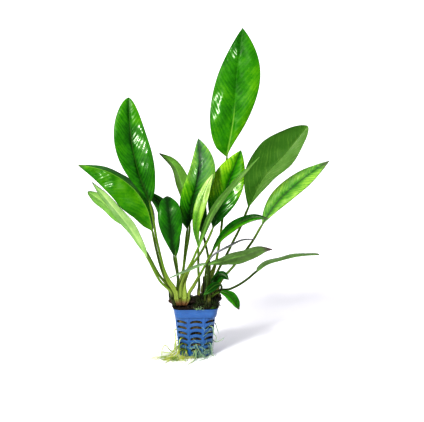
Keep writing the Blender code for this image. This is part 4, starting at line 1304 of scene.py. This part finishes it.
def leaf_parts(name, spec, settings):
    """One leaf as a closed skin from its heel to its tip, with what the finish needs to know."""
    path = Path([*leaf_start(spec), *spec.stalk, *spec.blade])
    blade_at = path.nearest(spec.blade[0])
    blade_length = path.total - blade_at
    grid = settings.grid / MM
    half_count = int(np.clip(round(spec.width / 2 / grid), 8, 30))
    stalk_rings = int(np.clip(blade_at / 2.2, 14, 70))
    blade_rings = int(np.clip(blade_length / (grid * 0.95), 40, 190))
    lengths = np.concatenate([
        np.linspace(0, blade_at, stalk_rings, endpoint=False),
        blade_at + blade_length * np.linspace(0, 1, blade_rings) ** 1.05])
    share = (lengths - blade_at) / blade_length
    centre = path.at(lengths)
    ahead = path.along(lengths)
    face = unit(spec.face)
    up = unit(face - ahead * (ahead @ face)[:, None])
    side = np.cross(ahead, up)

    # Points across: the upper side from the left edge to the right one, and back underneath.
    even = np.linspace(0, 1, half_count + 1)
    edge_in = even - 0.085 * np.sin(2 * pi * even)
    across = np.concatenate([-edge_in[::-1], edge_in[1:]])
    bottom = across[::-1][1:-1]
    t = np.concatenate([across, bottom])
    upper = np.concatenate([np.ones(len(across)), -np.ones(len(bottom))])
    upper[0] = upper[len(across) - 1] = 0.0
    turn = np.where(upper >= 0, pi / 2 * (1 - t), -pi / 2 * (1 - t))

    left, right = (blade_half_width(spec, share, half)[:, None] for half in (-1, 1))
    half = np.where(t < 0, left, right)
    x = t * half
    size = np.abs(x)
    a = np.abs(t)
    s = share[:, None]
    s_mm = s * blade_length
    seed = sum(map(ord, name)) % 97

    # Side veins leave the midrib at a slope and bend toward the tip.
    gap = settings.vein_gap / MM * min(1.0, 0.45 + spec.width / 75) * spec.gap
    start = s_mm - (VEIN_SLOPE * size + VEIN_BEND * size ** 2 / (spec.width / 2))
    start = start + 1.1 * np.sin(start * 0.23 + seed) + 0.8 * np.sin(start * 0.53 + 2 * seed + t)
    phase = start / gap + np.where(t < 0, 0.5, 0.0) * smooth_step(0.5, 2.0, size)
    swell = 0.5 - 0.5 * np.cos(2 * pi * phase)
    inside = smooth_step(0.4, 3.0, size) * (1 - a ** 5)
    inside = inside * smooth_step(0.0, 0.1, s) * (1 - smooth_step(0.9, 1.0, s))
    quilt = settings.quilt / MM * spec.stripe ** 0.5 * swell * inside
    sway = 0.018 * spec.width * np.sin(s_mm / 6.3 + seed)
    sway = sway * np.sin(x / 5.1 + 1.7 * seed + s_mm / 17) * inside

    # The blade's height over its midrib, and its thickness.
    fold = radians(spec.fold)
    arch = 0.07 * half * a * (1 - a) * 4 * (0.35 + 0.65 * smooth_step(0.0, 0.25, s))
    ripple = spec.wave * a ** 3 * np.sin(2 * pi * (s * 2.6 + 0.3 * seed) + t * 1.3)
    ripple = ripple * smooth_step(0.05, 0.3, s) * (1 - 0.6 * smooth_step(0.8, 1.0, s))
    reach = x * cos(fold)
    lift = size * sin(fold) + arch - spec.curl * a ** 6 * smooth_step(0.05, 0.35, s)
    lean, wet = wet_places(spec, share, reach, lift, np.broadcast_to(s_mm, x.shape), (side, ahead, up))
    lift = lift + (quilt + sway) * (1 - spec.calm * wet) + ripple + lean * inside ** 0.5
    lift = lift + abs(sin(fold)) * 0.6 * hump(size, 1.4)
    thick = between(settings.edge / MM, 0.34, smooth_step(1.0, 0.75, a))
    rib = between(STALK_RADIUS, 0.25, np.clip(s, 0, 1) ** 0.6)
    groove = spec.groove * hump(size, 0.7) * (1 - smooth_step(0.6, 1.0, s))
    above = thick + rib * 0.30 * hump(size, 1.2) - groove
    below = thick + rib * 1.25 * hump(size, 0.75 * rib + 0.25)
    level = np.where(upper > 0, lift + above, np.where(upper < 0, lift - below, lift))

    # The stalk: round and hollowed, and drawn out to a sheath at its foot.
    ratio = np.clip(lengths / blade_at, 0, 1)[:, None]
    sheath_length, sheath_half = spec.sheath
    in_sheath = 1 - smooth_step(0.55 * sheath_length, 1.25 * sheath_length, lengths)[:, None]
    radius = between(STALK_RADIUS * 1.08, STALK_RADIUS, ratio)
    wide = between(radius, sheath_half, in_sheath)
    deep = between(radius, 1.55, in_sheath)
    wide = wide * (1 - 0.45 * (1 - smooth_step(0.0, 4.0, lengths)[:, None]))
    hollow = 0.55 * deep * hump(turn - pi / 2, 0.55) * (0.35 + 0.65 * in_sheath)
    wing = 1 + 0.15 * in_sheath * np.abs(np.cos(turn)) ** 4
    joined = smooth_step(-0.045, 0.055, s)
    out = np.cos(turn) * wide * wing * (1 - joined) + reach * joined
    high = (np.sin(turn) * deep - hollow) * (1 - joined) + level * joined

    parts = Parts()
    parts.skin(
        centre[:, None] + side[:, None] * out[..., None] + up[:, None] * high[..., None], turned=True)
    data = {
        "blade": (t, np.where(s < 0, ratio - 1.0, s), upper * 0.5 + 0.5),
        "veins": (size, phase, half - size),
        "stalk": (lengths[:, None], in_sheath, turn),
        "gloss": (wet * inside ** 0.5, 0.0, 0.0),
    }
    return parts, {
        key: np.stack([np.broadcast_to(v, x.shape) for v in row], -1) for key, row in data.items()}


def leaf_finish(name, spec, settings):
    """Leaf skin: side veins, midrib, mottling, brown tip and edge, pale underside and sheath, with painted
    light and shade on the blade's halves, its swells and its midrib, and painted shade on the stalk.
    """
    look = Finish(f"skin_of_{name}", 0.3, spec.shine, Coat_Roughness=0.22, Specular_Tint=GLOSS_TINT)
    across, along, upper = look.attribute("blade")
    rib_mm, phase, edge_mm = look.attribute("veins")
    from_heel, in_sheath, turn = look.attribute("stalk")
    wet = look.attribute("gloss")[0]
    stripe = spec.stripe

    # Side veins with finer ones between them, fainter in patches.
    mottle = look.noise(70, 4, 0.6)
    speck = look.noise(700, 3, 0.6)
    phase = phase + (look.noise(110) - 0.5) * 0.7
    band = phase.wave() * 2.0
    patchy = look.noise(48).step(0.36, 0.64, 0.2, 1.0)
    vein_line = band.step(0.70, 0.98) * patchy
    fine_line = (phase * 4.0).wave().step(0.30, 0.5) * patchy

    # Upper side.
    # Each half's tone is set per leaf and holds painted light and shade: paler on a half that faces the
    # light, darker on one in shade.
    on_right = across.step(-0.02, 0.02)
    from_rib = abs(across).step(0.05, 0.95)
    near_tone, edge_tone = (on_right.step(0.0, 1.0, *pair) for pair in zip(spec.left, spec.right))
    tone = near_tone * (1.0 - from_rib) + edge_tone * from_rib
    tone = tone + along.step(0.55, 0.0) * spec.low + along.step(0.6, 1.0) * spec.high
    tone = tone + mottle.step(0.25, 0.75, 0.14, -0.16) + vein_line * (-0.26 * stripe - 0.03)
    # Painted light: the middle of each swell between side veins is lighter, where the quilting would catch
    # the light.
    tone = tone + band.step(0.55, 0.05) * patchy * (0.20 * stripe) + fine_line * (-0.03 - 0.04 * stripe)
    tone = tone + speck.step(0.35, 0.8, 0.02, -0.04)
    # Painted shade: near the midrib the blade is darkened where its fold makes a crease.
    if spec.rib < 0.4:
        tone = tone + rib_mm.step(4.0, 0.6) * -0.18
    colour = look.tones(
        tone, (0.0, settings.deep), (0.25, settings.dark), (0.5, settings.fresh),
        (0.75, settings.bright), (1.0, settings.yellow))
    # A pale young part, partly the leaf's own young colour and partly a painted sheen.
    if spec.pale:
        young = tone.step(0.45, 0.9) * along.step(0.35, 0.75, 0.1, spec.pale)
        colour = look.mix(young, colour, settings.under_pale)
    # The midrib line, from painted shade in its groove at rib 0 to its own pale colour at rib 1.
    rib_line = (rib_mm + along * 0.55).step(1.15, 0.65)
    if spec.rib_reach < 1.0:
        rib_line = rib_line * along.step(spec.rib_reach + 0.08, spec.rib_reach - 0.12)
    colour = look.mix(rib_line * 0.8, colour, look.mix(spec.rib, settings.rib_shade, settings.rib_pale))

    # Underside: each half's tone is set per leaf with painted light and shade, paler where it catches the
    # light.
    shade = on_right.step(0.0, 1.0, *spec.under) + mottle.step(0.3, 0.7, 0.06, -0.10)
    shade = shade + vein_line * (0.10 * spec.under_stripe + 0.02) + fine_line * -0.07
    shade = shade + rib_mm.step(1.5, 0.8) * (0.12 * spec.rib)
    under = look.tones(
        shade, (0.0, settings.under_dark), (0.33, settings.under_green), (0.66, settings.under_grey_sheen),
        (1.0, settings.under_pale))
    colour = look.mix(upper, under, colour)

    # Brown edge and tip, and grey film.
    frayed = (look.noise(350, 4) - 0.5) * 1.6
    at_edge = (edge_mm + frayed).step(0.85, 0.2) * (0.25 + 0.6 * spec.edge)
    colour = look.mix(at_edge, colour, look.mix(spec.edge, settings.deep, settings.brown))
    if spec.dry:
        film = look.noise(120, 4).step(0.3, 0.7, 0.6 * spec.dry, spec.dry)
        if spec.dry_from is not None:
            film = film * along.step(spec.dry_from, spec.dry_from + 0.2)
        colour = look.mix(film, colour, settings.grey)
    if spec.tip:
        tip_start = 0.94 - 0.05 * spec.tip - spec.reach_tip
        at_tip = (along + frayed * 0.02).step(tip_start, 1.0 - spec.reach_tip / 2, 0.0, spec.tip)
        colour = look.mix(at_tip, colour, settings.brown)

    # Stalk with its sheath and foot, with painted shade on the sheath's sides and at the foot.
    streaks = look.noise(1.0, 3, 0.6, look.node("CombineXYZ", 0, {0: turn * 7.0, 1: from_heel * 0.05}))
    # Painted shade: the sheath is darkened at both its sides, toward the dark stalk colour.
    rim = abs(look.sum("COSINE", turn)).step(0.75, 1.0, 0.0, 0.7)
    pale = look.layers(
        settings.sheath, (streaks.step(0.38, 0.62, 0.0, 0.7), settings.stalk), (rim, settings.stalk_dark),
        (0.85 * spec.stalk_dark, look.mix(0.4, settings.stalk_dark, settings.foot)))
    # Painted shade at the foot: the heel end of the stalk takes its own red brown, darkened toward the dark
    # stalk colour, and on some leaves it reaches further up and is darker.
    heel = (from_heel + streaks * 5.0).step(11.0 + 1.6 * spec.dirt, 4.5 + spec.dirt)
    foot_shade = min(1.0, 0.4 + 0.4 * spec.stalk_dark + 0.06 * spec.dirt)
    stalk = look.layers(
        settings.stalk, (spec.stalk_dark, settings.stalk_dark),
        (streaks.step(0.45, 0.7, 0.0, 0.4), settings.stalk_dark), (in_sheath, pale),
        (heel, look.mix(foot_shade, settings.foot, settings.stalk_dark)))
    colour = look.mix(along.step(-0.03, 0.05), stalk, colour)

    look.put(look.inputs["Coat Weight"], wet * spec.coat)
    rough = look.noise(95).step(0.3, 0.75, 0.30, 0.44) + spec.dull + wet * (-0.10 - spec.dull)
    rough = rough + (1.0 - upper) * 0.16
    relief = fine_line * -0.5 + speck * 0.35 + streaks * along.step(0.05, -0.03)
    return look.finish(colour, rough, relief, 0.35, 0.00012)


class ANUBIAS_OT_leaves(bpy.types.Operator):
    """Builds every leaf with its stalk"""

    bl_idname = "anubias.leaves"
    bl_label = "Leaves"

    def execute(self, context):
        settings = context.scene.anubias_leaves
        for node, spec in LEAVES.items():
            parts, data = leaf_parts(node, spec, settings)
            new_piece(turned(node), parts, leaf_finish(node, spec, settings), [node], data)
        return {"FINISHED"}


# Roots

# Column and row of a root's slot, where column 6 looks along -Y and column 4 along -X, and the
# points that the root passes.
ROOTS = {
    "root_long_left": (5, 0, [(-22, -17, 3), (-31, -19, 1.4), (-41, -20, 2.6), (-50, -20, 1)]),
    "root_loop_left": (4, 0, [(-25, -7, 5), (-34, -13, 13), (-36.5, -15, 9), (-36.5, -16.5, 1)]),
    "root_low_left": (4, 1, [(-23, -7, 7), (-28, -10, 1.2), (-36, -12, 1)]),
    "root_side_left": (4, 3, [(-21.5, -7, 22), (-21.5, -10, 14), (-23, -13, 5), (-27, -16, 1.2)]),
    "root_corner_left": (5, 2, [(-19, -20, 9), (-24, -24, 1.2), (-30, -30, 1), (-34, -42, 1)]),
    "root_front_left": (5, 1, [(-19.5, -19, 6), (-16, -24, 2), (-11.5, -32, 1)]),
    "root_front_middle": (6, 0, [(-0.5, -24, 2.6), (-3.5, -33, 1), (-11, -48, 1)]),
    "root_front_right": (6, 1, [(4, -21, 7), (9, -23.5, 1.5), (6, -29, 1), (0.5, -31.5, 1)]),
    "root_base_right": (7, 1, [(16.5, -17.5, 8), (18, -18, 3), (19.5, -18.5, 0.8)]),
    "root_side_right": (7, 4, [(19, -16.5, 27), (22.3, -12, 20), (21.5, -10, 14.5)]),
    "root_twig_right": (0, 1, [(22, -4, 13.5), (25.5, -6, 15), (31, -8, 19.5)]),
    "root_wisp_right": (0, 4, [(23.5, -3, 28.5), (25, -5, 23)]),
}
# How washed out the clinging roots are.
WAN = 0.75


def wavy(points, amount, seed):
    """The same line with small bends."""
    bends = np.stack([wave_noise(points, 0.35, seed + i, 2) for i in range(3)], -1)
    moved = points + bends * amount * np.linspace(0, 1, len(points))[:, None] ** 0.5
    moved[:, 2] = np.maximum(moved[:, 2], 0.35)
    return moved


def thick_root(column, row, way, thickness, seed):
    """A thick root from the medium, through its slot, and along its way."""
    angle = column_angle(column)
    z = slot_height(row) + SLOT_ARCH / 2
    wall = wall_radius(angle, z)
    path = Path([at_angle(angle, wall - WALL - 1.5, z), at_angle(angle, wall + 1.6, z), *way])
    count = int(max(14, path.total / 0.9))
    radii = thickness / MM * np.linspace(1.0, 0.55, count)
    radii = radii * (1 + 0.10 * np.sin(np.arange(count) * 1.7 + seed))
    radii[-3:] *= (0.9, 0.7, 0.35)
    parts = Parts()
    parts.tube(wavy(path.even(count), 0.35, seed * 9), radii, 10)
    return parts


def fine_roots(count):
    """Thin roots that leave the low slots and spread over the floor, most of them on the left."""
    rng = np.random.default_rng(51)
    parts = Parts()
    for i in range(count):
        on_left = i % 3 != 0
        column = rng.choice((4, 5, 5, 5, 6)) if on_left else rng.choice((6, 6, 7, 7, 0))
        row = rng.choice((0, 0, 0, 0, 0, 1)) if on_left else rng.choice((0, 0, 1))
        angle = column_angle(column) + radians(rng.uniform(-16, 16))
        z = slot_height(row) + rng.uniform(-0.6, 0.9)
        wall = wall_radius(angle, z)
        out, aside = directions(angle)
        aside = aside * rng.normal(0, 4.0)
        away = rng.uniform(6, 27) if on_left else rng.uniform(1.5, 7)
        drop = rng.uniform(0.4, 1.2)
        path = Path([
            out * (wall - WALL - 1.0) + (0, 0, z),
            out * (wall + 0.9) + (0, 0, z - 0.3),
            out * (wall + 1.2 + away * 0.12) + aside * 0.3 + (0, 0, z * 0.35 + 0.3),
            out * (wall + away * 0.5) + aside * 0.7 + (0, 0, drop),
            out * (wall + away) + aside + (rng.normal(0, 1.5), rng.normal(0, 1.5), drop)])
        radius = rng.uniform(0.13, 0.30)
        parts.tube(wavy(path.even(18), 0.8, i * 5), np.linspace(radius, radius * 0.45, 18), 5)
    return parts


def clinging_roots(count):
    """Thin pale roots that creep over the front of the pot's wall, most of them low down."""
    rng = np.random.default_rng(81)
    parts = Parts()
    for i in range(count):
        angle = radians(rng.triangular(-118, -50, -12))
        z = abs(rng.normal(0, 7.5)) + 1.0 if i % 6 else rng.uniform(8, 38)
        heading = rng.uniform(-1.2, 1.2) + (pi if i % 2 else 0.0)
        curl = rng.uniform(-0.16, 0.16)
        off = rng.uniform(0.95, 1.5)
        here = []
        for _ in range(int(rng.uniform(7, 20))):
            z = min(max(z + 0.7 * sin(heading), 0.5), 42.0)
            angle += 0.7 * cos(heading) / body_shape(z)[0]
            heading += curl + rng.normal(0, 0.12)
            here.append(at_angle(angle, wall_radius(angle, z) + off, z))
        parts.tube(here, np.linspace(1.0, 0.5, len(here)) * rng.uniform(0.14, 0.26), 5)
    return parts


def root_hairs(count):
    """Short pale hairs in the tangle beside the pot's foot."""
    rng = np.random.default_rng(61)
    parts = Parts()
    for i in range(count):
        share = rng.uniform(0, 1)
        if i % 4:
            at = np.array((rng.normal(-26, 8.0), rng.normal(-22, 6.0), 0.3 + abs(rng.normal(0, 0.8))))
        else:
            at = np.array((
                between(-18, 14, share), -19.5 + rng.normal(0, 1.5), 0.4 + abs(rng.normal(0, 1.2))))
        if abs(at[0]) < 17.0 and abs(at[1]) < 17.0:
            continue
        heading = unit(rng.normal(size=3) * (1, 1, 0.5))
        bend = unit(rng.normal(size=3) * (1, 1, 0.4))
        length = rng.uniform(2.5, 8.0)
        t = np.linspace(-0.5, 0.5, 6)[:, None]
        line = at + heading * t * length + bend * (0.25 - t ** 2) * length * 0.7
        line[:, 2] = np.maximum(line[:, 2], 0.25)
        parts.tube(line, np.linspace(0.14, 0.05, 6), 4)
    return parts


def root_finish(name, settings, tint=0.0, wan=0.0):
    """Root skin from pale yellow green to green, with brown stretches, washed out on the right."""
    look = Finish(name, 0.5, 0.4, Subsurface_Weight=0.1, Subsurface_Scale=0.001)
    tone = look.noise(110)
    on_right = look.split(look.place)[0].step(-0.008, 0.002) * 0.6
    colour = look.layers(
        settings.pale, (tone.step(0.40, 0.60), settings.green), (tint, settings.green),
        (look.noise(60).step(0.56, 0.68, 0.0, 0.75), settings.brown),
        (look.sum("MAXIMUM", on_right, wan), settings.wan))
    return look.finish(colour, tone.step(0.3, 0.7, 0.4, 0.65), look.noise(1800), 0.3, 0.0001)


class ANUBIAS_OT_roots(bpy.types.Operator):
    """Builds the thick roots, the fine roots and their hairs"""

    bl_idname = "anubias.roots"
    bl_label = "Roots"

    def execute(self, context):
        settings = context.scene.anubias_roots
        finish = root_finish("root_skin", settings, 0.15)
        for seed, (node, spec) in enumerate(ROOTS.items()):
            new_piece(turned(node), thick_root(*spec, settings.thickness, seed), finish, [node])
        for name, parts, skin, wan in (
                ("fine_roots", fine_roots(settings.fine), "fine_root_skin", 0.0),
                ("clinging_roots", clinging_roots(settings.clinging), "clinging_root_skin", WAN),
                ("root_hairs", root_hairs(settings.hairs), "root_hair_skin", 0.0)):
            new_piece(name, parts, root_finish(skin, settings, wan=wan))
        return {"FINISHED"}


# Stage

EYE = (-91.4, -1366.7, 361.4)
TARGET = (20.3, 21.4, 153.3)
SENSOR = 36.0
# The floor's radius is in metres.
FLOOR_RADIUS = 3.0
FLOOR_DROP = 0.05
# Each light: where it shines from, how wide it is in degrees, and its colour.
KEY_LIGHT = ((-0.46, -0.743, 0.486), 13, (1.0, 0.98, 0.95))
FILL_LIGHT = ((0.75, -0.6, 0.5), 40, (0.95, 0.97, 1.0))


def place_thing(name, data, place, target):
    """Stands a lamp or the camera at a place and turns it to look at a target."""
    made = bpy.data.objects.new(name, data)
    bpy.context.scene.collection.objects.link(made)
    made.location = Vector(place)
    made.rotation_euler = (Vector(target) - made.location).to_track_quat("-Z", "Y").to_euler()
    return made


def soft_light(name, strength, place, spread, colour):
    """A far soft light that shines from a place to the middle of the floor."""
    lamp = bpy.data.lights.new(name, "SUN")
    lamp.energy = strength
    lamp.angle = radians(spread)
    lamp.color = colour
    place_thing(name, lamp, place, (0.0, 0.0, 0.0))


def surroundings(settings):
    """White below the horizon, dim just above it, and a bright ceiling."""
    world = bpy.data.worlds.new("studio")
    bpy.context.scene.world = world
    world.use_nodes = True
    nodes = world.node_tree.nodes
    links = world.node_tree.links
    split = nodes.new("ShaderNodeSeparateXYZ")
    links.new(nodes.new("ShaderNodeTexCoord").outputs["Generated"], split.inputs[0])
    shift = nodes.new("ShaderNodeMath")
    shift.operation = "MULTIPLY_ADD"
    shift.inputs[1].default_value = 0.5
    shift.inputs[2].default_value = 0.5
    links.new(split.outputs[2], shift.inputs[0])
    ramp = nodes.new("ShaderNodeValToRGB")
    links.new(shift.outputs[0], ramp.inputs[0])
    dim = [settings.horizon] * 3
    fill_ramp(ramp, [(0.5, (1.0, 1.0, 1.0)), (0.53, dim), (0.68, dim), (0.88, settings.ceiling)])
    links.new(ramp.outputs["Color"], nodes["Background"].inputs["Color"])
    nodes["Background"].inputs["Strength"].default_value = 1.0


def studio_floor(settings):
    """A wide pale disc just under the pot."""
    look = Finish("pale_floor", 0.9, 0.1)
    shade = look.noise(3, 2).step(0.3, 0.7, 0.0, 0.3)
    look.put(look.inputs["Base Color"], look.mix(shade, settings.floor, (0.90, 0.90, 0.92)))
    mesh = bpy.data.meshes.new("studio_floor")
    disc = [at_angle(turn, FLOOR_RADIUS, -FLOOR_DROP * MM) for turn in turns(96)]
    mesh.from_pydata(disc, [], [list(range(96))])
    mesh.materials.append(look.material)
    floor = bpy.data.objects.new("studio_floor", mesh)
    bpy.context.scene.collection.objects.link(floor)


class ANUBIAS_OT_stage(bpy.types.Operator):
    """Sets the floor, the soft lights and the camera"""

    bl_idname = "anubias.stage"
    bl_label = "Stage"

    def execute(self, context):
        settings = context.scene.anubias_stage
        studio_floor(settings)
        soft_light("key_light", settings.key, *KEY_LIGHT)
        soft_light("fill_light", settings.fill, *FILL_LIGHT)
        surroundings(settings)
        lens = bpy.data.cameras.new("camera")
        lens.lens = settings.lens
        lens.sensor_width = SENSOR
        lens.clip_start = 0.01
        lens.clip_end = 100.0
        context.scene.camera = place_thing("camera", lens, Vector(EYE) * MM, Vector(TARGET) * MM)
        context.scene.view_settings.view_transform = "Standard"
        context.scene.view_settings.look = "High Contrast"
        return {"FINISHED"}


class ANUBIAS_PT_panel(bpy.types.Panel):
    """Lists the pieces of the plant"""

    bl_idname = "ANUBIAS_PT_panel"
    bl_label = "Potted Anubias"
    bl_space_type = "VIEW_3D"
    bl_region_type = "UI"
    bl_category = "Anubias"

    def draw(self, context):
        for operator, key, _ in STEPS:
            self.layout.operator(operator.bl_idname)
            settings = getattr(context.scene, key)
            for name in settings.__annotations__:
                self.layout.prop(settings, name)


STEPS = (
    (ANUBIAS_OT_stage, "anubias_stage", StageSettings),
    (ANUBIAS_OT_net_pot, "anubias_pot", PotSettings),
    (ANUBIAS_OT_medium, "anubias_medium", MediumSettings),
    (ANUBIAS_OT_stems, "anubias_stems", StemSettings),
    (ANUBIAS_OT_leaves, "anubias_leaves", LeafSettings),
    (ANUBIAS_OT_roots, "anubias_roots", RootSettings),
)


def register():
    """Makes the settings, the operators and the panel known."""
    for operator, key, group in STEPS:
        bpy.utils.register_class(group)
        setattr(bpy.types.Scene, key, bpy.props.PointerProperty(type=group))
        bpy.utils.register_class(operator)
    bpy.utils.register_class(ANUBIAS_PT_panel)


def unregister():
    """Takes them away again."""
    bpy.utils.unregister_class(ANUBIAS_PT_panel)
    for operator, key, group in reversed(STEPS):
        bpy.utils.unregister_class(operator)
        delattr(bpy.types.Scene, key)
        bpy.utils.unregister_class(group)


def main():
    """Builds everything in order."""
    register()
    for operator, _, _ in STEPS:
        group, name = operator.bl_idname.split(".")
        getattr(getattr(bpy.ops, group), name)()
    bpy.context.view_layer.update()


if __name__ == "__main__":
    main()
